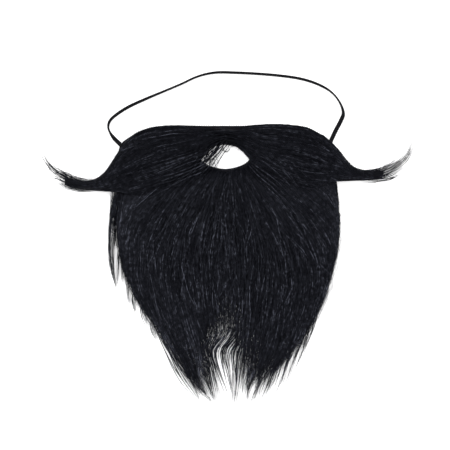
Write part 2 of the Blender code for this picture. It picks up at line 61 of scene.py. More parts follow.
LIP_MARGIN = 0.0010
BEARD_FLOOR = 0.0018
WING_FLOOR = 0.0021

# Sizes that only this script has
HAIR_RADIUS = 0.00012
FINE = 0.62                      # fine hairs' share of that
HAIR_RINGS = 7                   # points along a hair
RADIUS_PLACES = (0.0, 0.1, 0.55, 0.85, 1.0)  # shares of a hair's length, with its radius there
RADIUS_SHARES = (0.7, 1.0, 0.9, 0.5, 0.1)
RADIUS_RANGE = (0.75, 1.2)       # least and greatest radius of a hair, as a share of its group's
# How uneven the waves are, and where on a hair they start
WAVES_RANGE, WAVES_START = (0.6, 1.4), (0, 0.3)
CELL_INSET = 0.04                # margin round a hair's place on the bake map
ELASTIC_WIDTH = 0.0024
ELASTIC_THICKNESS = 0.0009
THREAD_RADIUS = 0.00018
THREAD_SIDES = 5
THREAD_UP = (0.13, 0.21, 0.97)   # direction that no thread follows
STITCH_PITCH = 0.0026            # between the overlock's stitches
STITCH_DEPTH = 0.0028            # from the edge to their inner ends
WEFT_PITCH = 0.0075              # between the rows of stitches that hold the hair on the cloth
WEFT_STITCH = 0.0034
STITCH_POINTS = 4                # points of the thread's path for each stitch
# From the edge to the ends of the rows
STITCH_CLEAR = 1.3 * STITCH_DEPTH
WEFT_INSET = 0.005               # from the cloth's side to a row's end
WEFT_SAG = 0.020                 # how much a row's ends are higher than its middle
WEFT_WANDER = 0.0002             # how far a row's thread wanders
WEFT_WANDERS = 1900              # radians in a metre
WEFT_RISE = 0.00035              # height of a stitch inside the cloth
WEFT_LOOK = 0.012                # how far above a row the cloth's width is still looked for
WEFT_LEAST = 12                  # rows with fewer points are left out

# The photograph: its size in pixels, metres on the table for a pixel, and the frame's origin in it
PHOTO_WIDTH = 450
PIXEL = 0.0005696
ORIGIN_COLUMN = 225.0
ORIGIN_ROW = 192.6
CAMERA_HEIGHT = 1.2
SENSOR_WIDTH = 36.0

ClothRow = namedtuple("ClothRow", "height left right")
CLOTH = (
    ClothRow(1.00, 0.30, 0.40),
    ClothRow(0.995, 0.61, 0.70),
    ClothRow(0.92, 0.78, 0.82),
    ClothRow(0.84, 0.86, 0.90),
    ClothRow(0.76, 0.93, 0.96),
    ClothRow(0.68, 0.96, 1.00),
    ClothRow(0.50, 0.98, 1.03),
    ClothRow(0.20, 0.96, 1.01),
    ClothRow(-0.22, 0.87, 0.89),
    ClothRow(-0.56, 0.68, 0.69),
    ClothRow(-0.81, 0.44, 0.45),
    ClothRow(-0.96, 0.19, 0.21),
    ClothRow(-1.00, 0.02, 0.02),
)

# Lines that the beard's hair follows, as in the CAD: sideways places at even steps down the line
# (share of the half width), and its first and last depth (share of the drop).
HairLine = namedtuple("HairLine", "root quarter half late tip top end")
HAIR_LINES = (
    HairLine(-0.92, -0.98, -1.00, -1.00, -0.96, -0.051, 0.43),
    HairLine(-0.89, -0.93, -0.85, -0.57, -0.26, -0.056, 0.96),
    HairLine(-0.74, -0.80, -0.68, -0.45, -0.15, -0.066, 0.99),
    HairLine(-0.57, -0.60, -0.50, -0.31, -0.10, -0.080, 1.00),
    HairLine(-0.39, -0.42, -0.34, -0.20, -0.09, -0.095, 0.98),
    HairLine(-0.19, -0.21, -0.18, -0.12, -0.09, -0.100, 0.88),
    HairLine(0.01, 0.01, 0.02, 0.02, 0.01, -0.100, 0.76),
    HairLine(0.18, 0.22, 0.23, 0.18, 0.10, -0.100, 0.93),
    HairLine(0.35, 0.44, 0.43, 0.31, 0.11, -0.100, 1.00),
    HairLine(0.53, 0.63, 0.60, 0.43, 0.18, -0.085, 0.98),
    HairLine(0.70, 0.81, 0.76, 0.55, 0.24, -0.071, 0.96),
    HairLine(0.85, 0.95, 0.87, 0.66, 0.31, -0.061, 0.93),
    HairLine(0.97, 0.985, 0.92, 0.74, 0.39, -0.056, 0.91),
)
FIRST_LINE, LAST_LINE = 1.0, 12.0
MIDDLE_LINE = (FIRST_LINE + LAST_LINE) / 2
HALF_LINES = (LAST_LINE - FIRST_LINE) / 2

# Where the hair's underside goes down from the cloth to the table: in metres below the cloth's end,
# and for the wings in shares of their length.
BEARD_DROPS, BEARD_DROP_LENGTH = 0.004, 0.018
WING_DROPS, WING_DROP_LENGTH = 0.72, 0.2

# Height of the hair's surface across the lines and down a line (share of the beard's thickness),
# and across a wing.
CROWN_ENDS = (0.05, 0.95)
CROWN_POWER = 0.6
CROWN_LEAST = 0.5
WING_CROWN_ENDS = (0.04, 0.96)
WING_CROWN_POWER = 0.7
WING_CROWN_LEAST = 0.30
BEARD_DEPTHS = ((0.0, 0.16), (0.08, 0.26), (0.20, 0.70), (0.45, 0.86), (0.70, 0.64), (0.90, 0.36),
                (1.0, 0.14))

WingRow = namedtuple("WingRow", "out upper lower swell")
LEFT_WING = (
    WingRow(0.00, 0.965, 0.68, 0.50),
    WingRow(0.08, 0.97, 0.59, 0.62),
    WingRow(0.13, 0.98, 0.51, 0.75),
    WingRow(0.21, 0.985, 0.39, 0.90),
    WingRow(0.32, 0.98, 0.24, 1.00),
    WingRow(0.43, 0.93, 0.13, 1.00),
    WingRow(0.51, 0.80, 0.05, 0.96),
    WingRow(0.56, 0.64, 0.02, 0.90),
    WingRow(0.61, 0.43, 0.02, 0.80),
    WingRow(0.65, 0.27, 0.03, 0.72),
    WingRow(0.71, 0.17, 0.04, 0.62),
    WingRow(0.80, 0.18, 0.06, 0.54),
    WingRow(0.86, 0.24, 0.11, 0.46),
    WingRow(0.91, 0.31, 0.20, 0.38),
    WingRow(0.95, 0.42, 0.34, 0.28),
    WingRow(0.98, 0.54, 0.52, 0.12),
)
RIGHT_WING = (
    WingRow(0.00, 0.965, 0.68, 0.50),
    WingRow(0.08, 0.975, 0.61, 0.62),
    WingRow(0.13, 0.985, 0.52, 0.75),
    WingRow(0.21, 1.00, 0.42, 0.90),
    WingRow(0.32, 1.00, 0.32, 1.00),
    WingRow(0.43, 0.96, 0.23, 1.00),
    WingRow(0.51, 0.86, 0.18, 0.96),
    WingRow(0.57, 0.74, 0.17, 0.90),
    WingRow(0.62, 0.59, 0.17, 0.80),
    WingRow(0.66, 0.43, 0.18, 0.72),
    WingRow(0.71, 0.34, 0.18, 0.62),
    WingRow(0.79, 0.32, 0.19, 0.54),
    WingRow(0.85, 0.34, 0.23, 0.46),
    WingRow(0.91, 0.41, 0.31, 0.38),
    WingRow(0.96, 0.52, 0.45, 0.28),
    WingRow(1.00, 0.68, 0.66, 0.12),
)

# The elastic's route, from the part's source
ELASTIC_ROUTE = (
    (-0.0597, 0.0275), (-0.0636, 0.0315), (-0.0663, 0.0363), (-0.0656, 0.0406),
    (-0.0616, 0.0445), (-0.0546, 0.0489), (-0.0453, 0.0532), (-0.0353, 0.0574),
    (-0.0253, 0.0616), (-0.0154, 0.0661), (-0.0054, 0.0683), (0.0066, 0.0682),
    (0.0185, 0.0676), (0.0305, 0.0666), (0.0424, 0.0649), (0.0520, 0.0620),
    (0.0600, 0.0576), (0.0650, 0.0518), (0.0673, 0.0454), (0.0658, 0.0406),
    (0.0630, 0.0353), (0.0602, 0.0293),
)
ELASTIC_TAB = 0.004
# How far the flat elastic is turned on its edge along its length, in degrees.
ELASTIC_TWIST = ((0.0, 0), (0.040, 12), (0.050, 28), (0.063, 66), (0.076, 88), (0.087, 76),
                 (0.10, 58), (0.16, 51), (0.21, 55), (0.25, 64), (0.30, 73), (0.39, 76),
                 (0.435, 67), (0.48, 62), (0.73, 62), (0.79, 66), (0.82, 88), (0.845, 88),
                 (0.865, 71), (0.884, 58), (0.902, 10), (1.0, 0))

# The point of the plan from which the beard's hair spreads, and the heights between which that
# spreading fades out.
FAN_CENTRE = (0.0034, 0.0245)
# The heights where it is full and where it ends
FAN_FULL, FAN_NONE = -0.012, -0.066
FAN_FOLLOWED = 0.9               # how closely the hairs follow it
FAN_LEAST_DROP = -0.010          # nearer below its centre than this, hairs don't spread more
LINE_STEP, DOWN_STEP = 0.5, 0.02  # steps that measure how wide and how steep the hair lines are
LEAST_LINE_WIDTH = 0.004         # metres, where lines meet
# How far the hair lower down hangs straight instead of following the lines, on each side, and the
# heights between which the outermost hair is held along the outline.
STRAIGHT_LEFT, STRAIGHT_RIGHT = 0.30, 0.40
HELD_NONE, HELD_FULL = -0.045, -0.025
# How far inside the outline the loose hair ends on each side, in hair lines.
LOOSE_LEFT, LOOSE_RIGHT = 0.70, 0.40

# How much darker the beard's hair is painted right below the moustache, as painted shade of the
# moustache, and the heights where that fades.
LIP_SHADE = 0.60
LIP_SHADE_ENDS = (0.006, -0.012)

# How the beard's hairs are laid: places down a hair line are shares of its length, and places
# across are counted in hair lines.
BEARD_SETS, BEARD_SET = 3, 4700
LAST_ROOT = 0.60                 # the lowest root
HAIR_LENGTHS = (0.24, 0.60)
FIRST_ROW_SHARE = 0.24           # share of the hairs that start at the mouth, in this row
FIRST_ROW = (-0.07, 0.02)
END_SPREAD = 0.04                # how unevenly all hairs end
# The line between the lobes, and how wide that gap is
LOBE_GAP, LOBE_GAP_WIDTH = 6.1, 1.2
GAP_SHORTER = (0.0, 0.08)        # how much earlier the hairs end between the lobes
RIGHT_LOBE = (7.5, 10.5)         # lines between which the right lobe's fringe begins
RIGHT_SHORTER = (0.03, 0.12)     # the same in the right lobe, for this share of its hairs
RIGHT_SHORTER_SHARE = 0.7
CLUMPS = 260                     # groups that the hairs' tips draw in to
# How strongly the tips draw in, and how late on the hair
CLUMP_PULL, CLUMP_POWER = (0.1, 0.65), 2.5
CROSSING_SHARE = 0.3             # share of the hairs that cross their neighbours
CROSSING, DRIFT = 0.9, 0.25      # how far they wander, and the others
CROSSING_PIVOT = 0.3             # place on a hair from which it wanders
# How much hairs draw in, and where that begins and ends
INSET, INSET_ENDS = 0.08, (0.30, 0.90)
# Where the hair gets loose on each side
LEFT_LOOSENS, RIGHT_LOOSENS = (0.50, 0.85), (0.28, 0.55)
# How unevenly hairs end at the outline, and how far outside it
OUTLINE_SPREAD, LOOSE_OUTSIDE = 0.05, 0.15
LEAST_REACH = 0.15               # hairs that would be shorter are left out
WAVE, WAVES = 0.0011, 1.5        # metres, and waves along a hair
CALM, CALM_LINES = 0.7, (4.8, 5.5)  # how much less they wave along the outline
LAYER_POWER = 0.55               # below 1, more hairs lie on top
DIVES, DIVE_TURNS = (0.05, 0.4), (7, 14)  # rise and fall of a hair between the layers
ROOT_RISE = (-0.10, 0.12)        # shares of a hair's length where it rises from its root
HAIR_CLEAR = 0.0002              # least height of the hairs above what they lie on

# The thin fringe along the beard's outline, in the same measures
FRINGE_COUNT = 1300
FRINGE_RIGHT_SHARE = 0.55
FRINGE_ROOTS_RIGHT, FRINGE_ROOTS_LEFT = (0.16, 0.85), (0.26, 0.88)
FRINGE_LENGTHS = (0.12, 0.26)
FRINGE_END, FRINGE_END_SPREAD = 0.99, 0.02
FRINGE_INNER = (0.5, 1.6)        # how far inside the outline they start
FRINGE_LOW_ROOTS = (0.5, 0.9)    # roots that lie low start further inside
FRINGE_LOW_INNER = 0.5           # by this much
FRINGE_OUTER = 0.12              # how far inside they end, and how unevenly
FRINGE_OUTER_SPREAD = 0.18
FRINGE_OUTERMOST = -0.10         # no further outside than this
FRINGE_BEND = (0.9, 1.8)         # how late they turn outward
FRINGE_WAVE, FRINGE_WAVES = 0.0006, 1.2
FRINGE_LEVELS = (0.1, 0.9)       # their heights, as shares of the hair's

# How a moustache wing's hairs are laid: shares of its length and of its width
WING_COUNT = 3300
# The outermost root, and how the roots crowd inward
WING_LAST_ROOT, WING_ROOT_POWER = 0.62, 1.2
WING_LENGTHS, WING_LEAST_LENGTH = (0.24, 0.52), 0.2
WING_SHORT_SHARE = 0.96          # share of the hairs that end near the wing's waist
# Where these hairs end, and how unevenly
WING_END, WING_END_SPREAD = 0.72, 0.045
# Where the others end, and the earliest end of any
WING_LONG_END, WING_EARLIEST_END = 0.90, 0.5
# Lanes above 1 crowd at the lower edge; how far a hair drifts to other lanes
WING_LANES, WING_DRIFT = 1.12, 0.15
# How far hairs stray past the lower edge, and places where that starts and ends
STRAY = 0.40
STRAY_STARTS = (0.04, 0.2)
STRAY_ENDS = (0.30, 0.46)
FANS = 14                        # bundles that spread at the tip, and by how many metres
FAN_SPREAD = 0.0009
FAN_SCATTER = 0.0003
FAN_ENDS = (0.70, 0.95)
WING_WAVE, WING_WAVES = 0.0005, 1.4
# How much less they wave near both edges
WING_CALM, WING_CALM_LANES = 0.8, (0.3, 0.5)
WING_RISE = (-0.05, 0.12)

# Groups of hair that stand by themselves. Points are the photo's pixels that the group passes,
# each with its half width there in pixels, then come its number of hairs, its height in mm at the
# root and the tip, how much shorter than the path its hairs may end, and how far in pixels they are
# from the middle of their small lock.
Wisp = namedtuple("Wisp", "points count root_z tip_z ragged spread", defaults=(0.10,))
WISP_LOCK = 2.8                  # pixels between its small locks
WISP_LOCKS = 1.6                 # least number of small locks in each half width of a wisp
WISP_CROSSING = 0.12             # how far a hair wanders to other small locks, in half widths
WISP_WAVE = 0.00009              # sideways waves of a wisp's hairs for each pixel of half width
WISP_WAVES = 1.6
# Spread of its hairs, and their greatest distance from its middle, in half widths
WISP_ACROSS, WISP_EDGE = 0.6, 1.3
WISP_ROOTS = 0.2                 # the latest root, as a share of the path
WISP_CROSSES = (0.2, 0.9)        # shares of the hair between which it wanders
WISP_LEAST = 0.1                 # least height of a wisp's hair, as a share of its group's
EDGE_WISPS = (
    Wisp(((118, 188, 3), (112, 214, 1.6), (109.6, 246, 1), (111, 268, 0.8), (117, 290, 0.4)),
         80, 5, 1, 0.15, 0.3),
    Wisp(((121, 188, 3), (115.5, 220, 2), (113, 248, 1.1), (113.5, 268, 0.8), (117, 288, 0.4)),
         60, 5, 1, 0.15),
    Wisp(((125, 194, 4), (121, 228, 2.4), (119, 252, 1.1), (118, 268, 0.8), (117.3, 286, 0.4)),
         60, 5, 1, 0.15),
    Wisp(((123, 180, 5.5), (118.5, 202, 5), (117, 226, 3.8), (118, 250, 1.5)), 380, 5, 2, 0.6, 1),
    Wisp(((130, 200, 5.5), (125, 222, 4), (123, 240, 2.4), (124, 262, 1.5)), 160, 4, 2, 0.4, 1),
    Wisp(((130, 226, 4), (124.5, 250, 2), (122.4, 268, 1.2), (122.6, 284, 0.6)), 40, 3, 1, 0.2),
    Wisp(((134, 256, 3), (128.5, 279, 2.4), (127.8, 292, 1.8), (130, 306, 1)), 40, 3, 1, 0.3),
    Wisp(((142, 272, 3), (134, 294, 2.4), (133.5, 304, 1.8), (136, 314, 1)), 36, 3, 1, 0.3),
    Wisp(((152, 290, 3), (143, 308, 2.4), (144, 318, 1.8), (148, 327, 1)), 26, 3, 1, 0.3),
    Wisp(((162, 304, 3), (153, 322, 2.4), (154, 333, 1.8), (158, 342, 1)), 20, 3, 1, 0.3),
    Wisp(((334, 236, 2.5), (335, 256, 2), (331, 272, 1.5), (327, 290, 0.8)), 30, 3, 1, 0.3),
    Wisp(((330, 256, 2.5), (329, 276, 2), (325, 292, 1.5), (319, 308, 0.8)), 30, 3, 1, 0.3),
)
TIP_WISPS = (
    Wisp(((168, 310, 16), (183, 348, 11), (200, 380, 7), (215, 403, 2)), 230, 3, 0.6, 0.3),
    Wisp(((158, 314, 9), (172, 350, 8), (187, 378, 6), (203, 404, 3)), 100, 3, 0.6, 0.4),
    Wisp(((155, 320, 4), (168, 352, 3.5), (181, 378, 3.5), (197, 400, 2.5)), 36, 3, 0.6, 0.4),
    Wisp(((192, 326, 8), (203, 352, 6), (211, 378, 4), (216, 404, 2)), 160, 3, 0.6, 0.3),
    Wisp(((250, 326, 6), (241, 352, 5), (237, 378, 3.5), (234, 408, 1.5)), 120, 3, 0.6, 0.3),
    Wisp(((266, 322, 14), (258, 352, 11), (254, 380, 8), (247, 405, 5)), 200, 3, 0.6, 0.4),
    Wisp(((284, 318, 14), (277, 346, 11), (268, 374, 8), (258, 401, 5.5)), 180, 3, 0.6, 0.4),
    Wisp(((298, 308, 10), (291, 334, 9), (283, 362, 8), (270, 396, 5)), 150, 3, 0.6, 0.4),
    Wisp(((308, 298, 7), (302, 322, 7), (295, 348, 7), (282, 386, 4.5)), 140, 3, 0.6, 0.4),
    Wisp(((316, 290, 5), (310, 312, 5), (304, 336, 5), (293, 370, 3.5)), 90, 3, 0.6, 0.4),
    Wisp(((322, 284, 4), (318, 304, 3), (312, 326, 3), (302, 352, 2.5)), 50, 3, 0.6, 0.4),
)
# Long hairs on top of the rest, painted light as painted highlights of lit hairs.
HIGHLIGHT_BEARD_WISPS = (
    Wisp(((197, 342, 1.6), (198, 356, 2.4), (201, 372, 2.4), (205, 390, 1.2)), 30, 5.4, 4, 0.3),
    Wisp(((184, 306, 3.5), (188, 324, 4), (194, 342, 3.5), (199, 356, 2.5)), 24, 7.2, 5, 0.4),
    Wisp(((247, 362, 2.6), (250, 370, 3.2), (248, 377, 2.6), (243, 384, 1.4)), 26, 5.2, 4, 0.3),
    Wisp(((150, 308, 1.6), (160, 326, 2.2), (171, 346, 2.6), (184, 370, 2)), 16, 6.4, 3.8, 0.4),
    Wisp(((232, 322, 3), (226, 334, 5), (214, 342, 5), (207, 352, 3)), 26, 7.2, 5.2, 0.4),
)
HIGHLIGHT_LEFT_WISPS = (
    Wisp(((206, 150, 3), (182, 158, 5), (152, 168, 6), (112, 179, 5)), 34, 9.4, 8, 0.5),
    Wisp(((214, 158, 3), (198, 167, 5), (176, 176, 6), (152, 183, 5)), 34, 8.6, 7.4, 0.5),
    Wisp(((196, 136, 4), (160, 140, 7), (124, 150, 8), (96, 160, 6)), 16, 9.4, 7.2, 0.5),
)
HIGHLIGHT_RIGHT_WISPS = (
    Wisp(((252, 150, 4), (270, 160, 6), (288, 174, 8), (304, 192, 7)), 34, 8.8, 7.4, 0.5),
    Wisp(((256, 140, 5), (284, 146, 8), (320, 160, 9), (356, 174, 6)), 34, 9.4, 7.2, 0.5),
    Wisp(((246, 160, 2), (258, 172, 4), (276, 186, 6), (290, 202, 6)), 22, 7.6, 7.4, 0.5),
)
# Tones of the painted highlight hairs
HIGHLIGHT_WISP_TONES = (0.40, 1.00)
HIGHLIGHT_WISP_LEAST = 0.86               # least height of a painted highlight hair, as a share of its group's
# The veil of single curved hairs between the two lobes: pixels that its left, middle and right
# hairs pass.
VeilRow = namedtuple("VeilRow", "row left middle right")
VEIL = (
    VeilRow(318, 204, 228, 252),
    VeilRow(330, 203, 228, 251),
    VeilRow(340, 203, 222, 246),
    VeilRow(348, 204, 215, 240),
    VeilRow(356, 205, 213, 236),
    VeilRow(368, 207, 216, 236),
    VeilRow(384, 210, 223, 236),
    VeilRow(404, 215, 233, 236),
)
VEIL_COUNT = 300
VEIL_LOCKS = 28                  # small locks across the veil
# Places of its roots and tips, as shares of its height
VEIL_ROOTS, VEIL_TIPS = (0.0, 0.2), (0.58, 1.0)
VEIL_SPREAD, VEIL_SPLAY = 0.13, 0.5  # of a lock's hairs, and of its tip, in lock widths
VEIL_SWAY = 1.6                  # pixels
# How uneven the sway is, and where it starts
VEIL_SWAYS, VEIL_SWAY_START = (0.5, 1.4), (0.1, 0.45)
VEIL_TURNS = 2.4                 # half turns of the bend along the veil
VEIL_PHASE = 0.6                 # where the bend starts
VEIL_PHASES = (0.5, 0.05)        # how unevenly, from lock to lock and from hair to hair
VEIL_WAVE, VEIL_WAVES = 0.0001, 1.3
VEIL_FLOOR = 0.0003              # heights in metres, of the lowest hair and of the uppermost
VEIL_ROOT_TOP = 0.003
VEIL_TIP_TOP = 0.0005
VEIL_LEAST = 0.1                 # least height of a hair, as a share of the others'

LEFT_TIP_WISPS = (
    Wisp(((98, 185, 4.5), (79, 184, 4.2), (62, 175, 3.2), (49, 167, 2.2), (39.5, 150, 0.5)),
         18, 3, 1, 0.1),
    Wisp(((98, 184, 4), (80, 183, 3.8), (63, 175, 2.6), (51, 167, 1.8), (43.5, 151, 0.4)),
         12, 3, 1, 0.1),
    Wisp(((94, 185, 4), (80, 184, 3.6), (66, 178, 3.2), (56, 171, 2.6), (47, 161, 1.6)),
         18, 3, 1, 0.3),
    Wisp(((96, 184, 3), (83, 183, 2.6), (72, 178, 2), (64, 173, 1.4), (58, 167, 0.9)), 14, 3, 1, 0.3),
    Wisp(((98, 183, 2), (88, 182, 2), (79, 180, 1.6), (72, 177, 1.2), (66, 171, 0.7)), 14, 3, 1, 0.3),
    Wisp(((96, 187, 3.2), (82, 187.5, 3), (70, 185, 2.8), (60, 181, 2.6), (49, 177, 2)),
         22, 3, 1, 0.4),
    Wisp(((98, 188, 2.4), (84, 189, 2.2), (73, 188, 2), (64, 186, 1.6), (55, 182, 1)), 20, 3, 1, 0.4),
)
RIGHT_TIP_WISPS = (
    Wisp(((360, 176, 4.5), (379, 174.5, 4.2), (395, 167, 3.2), (406, 157, 2.2), (412.5, 139, 0.5)),
         18, 3, 1, 0.1),
    Wisp(((360, 176, 4), (379, 175, 3.6), (396, 167, 2.6), (408, 158, 1.8), (415.5, 140.5, 0.4)),
         12, 3, 1, 0.1),
    Wisp(((362, 175, 4), (377, 173.5, 3.4), (389, 168.5, 3.2), (399, 161, 2.4), (406, 152, 1.6)),
         18, 3, 1, 0.3),
    Wisp(((360, 173, 3), (373, 171.5, 2.4), (383, 169, 2), (391, 164.5, 1.4), (397, 158, 0.9)),
         14, 3, 1, 0.3),
    Wisp(((358, 172, 2), (368, 171.5, 2), (377, 170, 1.6), (383, 167, 1.2), (388.5, 161, 0.7)),
         14, 3, 1, 0.3),
    Wisp(((362, 178, 3.2), (375, 178, 3), (386, 176, 2.6), (396, 172, 2.2), (407, 166, 1.8)),
         22, 3, 1, 0.4),
    Wisp(((362, 179, 2.4), (375, 179.5, 2), (386, 178.5, 1.8), (394, 176.5, 1.4), (402, 173, 1)),
         20, 3, 1, 0.4),
)
MOUTH_WISPS = (
    Wisp(((219, 138, 6), (210, 147, 5), (201, 155, 5), (189, 165, 6), (177, 172, 7)), 190, 6, 6, 0.2),
    Wisp(((226, 139, 4.5), (216, 149, 4), (206, 159, 4), (195, 169, 5), (184, 177, 6)),
         40, 6, 6, 0.3),
    Wisp(((229, 139, 5), (220, 150, 6), (212, 161, 6.5), (204, 171, 7), (195, 181, 6)),
         34, 6, 5, 0.5),
    Wisp(((224, 139, 4), (213, 148, 5), (205, 159, 6), (201, 170, 6), (198, 181, 6)), 30, 6, 5, 0.5),
    Wisp(((214, 146, 5), (210, 154, 6), (212, 163, 6), (215, 172, 6)), 8, 6, 5, 0.4),
    Wisp(((221, 142, 1.5), (222.5, 148, 1), (226, 152, 0.5), (229, 150, 0.4), (229.5, 147, 0.3)),
         5, 5, 5, 0.1),
    Wisp(((229, 138, 10), (230, 141, 9), (229.5, 145, 8), (228, 149, 6)), 50, 5, 4, 0.6),
    Wisp(((232, 139, 3.5), (240, 146, 2.6), (247, 153, 2.2), (254, 160, 2.4)), 40, 5, 5, 0.3),
)
# Hairs across the middle, where the two halves of the moustache meet.
MIDDLE_WISPS_LEFT = (
    Wisp(((244, 132, 2.2), (230, 132, 2.5), (210, 134, 4), (186, 140, 6)), 120, 6.5, 7, 0.3),
    Wisp(((238, 137, 2), (226, 137, 2.4), (212, 141, 3.5), (196, 149, 5)), 100, 6.5, 7, 0.3),
)
MIDDLE_WISPS_RIGHT = (
    Wisp(((208, 132, 2.2), (222, 132, 2.5), (242, 134, 4), (266, 139, 6)), 120, 6.5, 7, 0.3),
    Wisp(((214, 137, 2), (226, 137, 2.4), (240, 140, 3.5), (258, 147, 5)), 100, 6.5, 7, 0.3),
)
# Places where the hair is so thin that the surface below shows: pixel, half sizes, share kept.
ThinSpot = namedtuple("ThinSpot", "pixel half_width half_height kept")
THIN_SPOTS = (
    ThinSpot((201, 372), 3.0, 13.0, 0.40),
    ThinSpot((249, 373), 5.0, 6.0, 0.35),
    ThinSpot((225, 380), 8.0, 27.0, 0.04),
    ThinSpot((211, 362), 8.0, 20.0, 0.55),
    ThinSpot((219, 337), 18.0, 9.0, 0.25),
)
# Steps that look along a hair, and the spots' uneven edge
THIN_STEPS = 41                  # places along a hair that are tested
THIN_EDGE = (0.6, 1.1)           # how uneven a thin spot's edge is, as shares of its half sizes
THIN_LEAST = 0.25                # hairs that would be shorter are left out

# The dense under hair of the beard, in hair lines and shares of their length, and of the wings: its
# points, how far it reaches, how it draws in, and how thick it is.
CORE_POINTS = (120, 64)          # across and down
CORE_LINES = (1.3, 11.7)
CORE_DOWNS = (-0.04, 0.76)
# How much shorter it is between the lobes, and that gap's width
CORE_GAP, CORE_GAP_WIDTH = 0.12, 1.3
# How much narrower it is lower down, and the places between which it gets so
CORE_NARROWER, CORE_NARROWS = 0.12, (0.25, 0.7)
CORE_EDGE = 1.0                  # lines over which it gets thinner at its sides
CORE_THINS = (0.60, 0.77)        # places where it gets thinner, down to the share CORE_TIP
CORE_TIP = 0.25
# Least thickness, and where it rises at the mouth
CORE_LEAST, CORE_RISE = 0.0004, (-0.05, 0.10)
CORE_FLOOR = 0.0001              # its underside's height above what it lies on
WING_CORE_POINTS = (50, 90)
WING_CORE_LANES = (0.05, 0.95)
WING_CORE_PLACES = (0.0, 0.80)
WING_CORE_THINS = (0.6, 0.8)
WING_CORE_TIP = 0.3
WING_CORE_LEAST = 0.0006
WING_CORE_LOCKS = 5              # locks across a wing
# Thickness as a share of the hair's, and the locks' share
CORE_SHARE, CORE_RELIEF = 0.30, 0.35
FLOW_DOWN, RELIEF_DOWN = 8, 3    # how the surface's streaks and locks are stretched
RELIEF_BENDS = ((0.6, 5.0, 0.0), (0.4, 11.0, 2.0))  # size, pitch, start
RELIEF_LOCKS = ((0.6, 2.6, 1), (0.4, 6.3, -2))      # share, pitch, how they follow the bends

# Colours and shine
# LIGHT, the top of the hairs' colour ramp, is both their own lighter tone and the colour of their
# painted highlights.
DARK, LIGHT = (0.0009, 0.0011, 0.0030), (0.168, 0.178, 0.228)
MOUSTACHE_LIGHT = 0.6            # the moustache's lightest tone, as a share of the beard's
UNDER_DARK, UNDER_LIGHT = (0.0010, 0.0011, 0.0020), (0.010, 0.0105, 0.014)
ELASTIC_DARK, ELASTIC_LIGHT = (0.0012, 0.0012, 0.0018), (0.0060, 0.0062, 0.0080)
CLOTH_DARK, CLOTH_LIGHT = (0.004, 0.004, 0.006), (0.020, 0.020, 0.026)
THREAD_DARK, THREAD_LIGHT = (0.006, 0.006, 0.008), (0.030, 0.030, 0.036)
# The hairs' tones: shape of the beta distribution, and the lightest tone
TONE_SHAPE, TONE_TOP = (1.1, 3.2), 0.72
# Share of hairs painted lighter as painted highlights, and their tones
HIGHLIGHT_HAIR_SHARE, HIGHLIGHT_HAIR_TONES = 0.07, (0.5, 1.0)

# The studio: its floor, world and lamps
FLOOR_HALF = 3.0
FLOOR_LEVEL = -0.0001
FLOOR_COLOUR = (0.92, 0.92, 0.92, 1.0)
FLOOR_GLOW = 0.45
WHITE, WORLD_STRENGTH = (1.0, 1.0, 1.0, 1.0), 0.75
Lamp = namedtuple("Lamp", "name place size power")
LAMPS = (
    Lamp("key_light", (-0.9, 0.9, 1.5), 1.2, 22.0),
    Lamp("fill_light", (0.9, 0.1, 1.6), 1.4, 12.0),
)

# The elastic's mesh and route
ELASTIC_RINGS = 240
ELASTIC_SIDES = 20
ELASTIC_RIBS = 4
RIB_HEIGHT = 0.10                # share of the thickness
ELASTIC_ROUND = 0.6              # roundness of its section: 1 is an oval, less is nearer a slab
TWIST_SMOOTH = 5                 # rings that its twist is smoothed over
ROUTE_STEPS = 600
ROUTE_END = 5                    # steps that show the route's direction at an end
TAB_CLIMBS = (-0.0015, 0.0010)   # metres past the route's end, where it climbs on the cloth
ELASTIC_CLEAR = 0.00003          # height of its lowest points above what it lies on
RIBBON_STEP = 0.35               # units of the ribbon map from ring to ring

# The cloth's mesh: steps of its outline, points round the mouth and outward, small waves, and edges
CLOTH_STEPS = 400
CLOTH_TOP_STEPS = 60
CLOTH_AROUND = 256
CLOTH_ACROSS = 20
PUFF = 0.00012                   # height of the waves in metres
PUFF_X = 900                     # radians in a metre
PUFF_Y = 700
EDGE_ROLL = 0.45                 # how much thinner the edges are
EDGE_ROLL_POWER = 60             # how soon they get so thin
CLOTH_TOP_IN = 0.0001            # how far its two sides lie inside its thickness
CLOTH_BOTTOM_IN = 0.0003

# Places along a hair, one for each of its points
ALONG = np.linspace(0.0, 1.0, HAIR_RINGS)[None]

# All random draws come from here, so their order in the script decides the result.
rng = np.random.default_rng(20)


def mix(a, b, t):
    return a + (b - a) * t


def ramp(low, high, value):
    """0 below low, 1 above high, smooth between."""
    t = np.clip((value - low) / (high - low), 0.0, 1.0)
    return t * t * (3 - 2 * t)


def photo_place(pixel):
    return ((pixel[0] - ORIGIN_COLUMN) * PIXEL, (ORIGIN_ROW - pixel[1]) * PIXEL)


def smooth_values(values, t):
    """Values at t (0 to 1) on the smooth curve through evenly spaced values."""
    values = np.asarray(values, float)
    place = np.clip(t, 0.0, 1.0) * (len(values) - 1)
    i = np.minimum(place.astype(int), len(values) - 2)
    f = place - i
    padded = np.concatenate(([2 * values[0] - values[1]], values, [2 * values[-1] - values[-2]]))
    before, a, b, after = padded[i], padded[i + 1], padded[i + 2], padded[i + 3]
    slope_a, slope_b = (b - before) / 2, (after - a) / 2
    return ((2 * f**3 - 3 * f**2 + 1) * a + (f**3 - 2 * f**2 + f) * slope_a
            + (3 * f**2 - 2 * f**3) * b + (f**3 - f**2) * slope_b)


def sample_grid(grid, row, column):
    """Value between the points of a grid; past its last rows it goes on in a straight line."""
    i = np.clip(np.floor(row).astype(int), 0, grid.shape[0] - 2)
    j = np.clip(np.floor(column).astype(int), 0, grid.shape[1] - 2)
    f, g = row - i, np.clip(column - j, 0.0, 1.0)
    low = mix(grid[i, j], grid[i, j + 1], g)
    high = mix(grid[i + 1, j], grid[i + 1, j + 1], g)
    return mix(low, high, f)


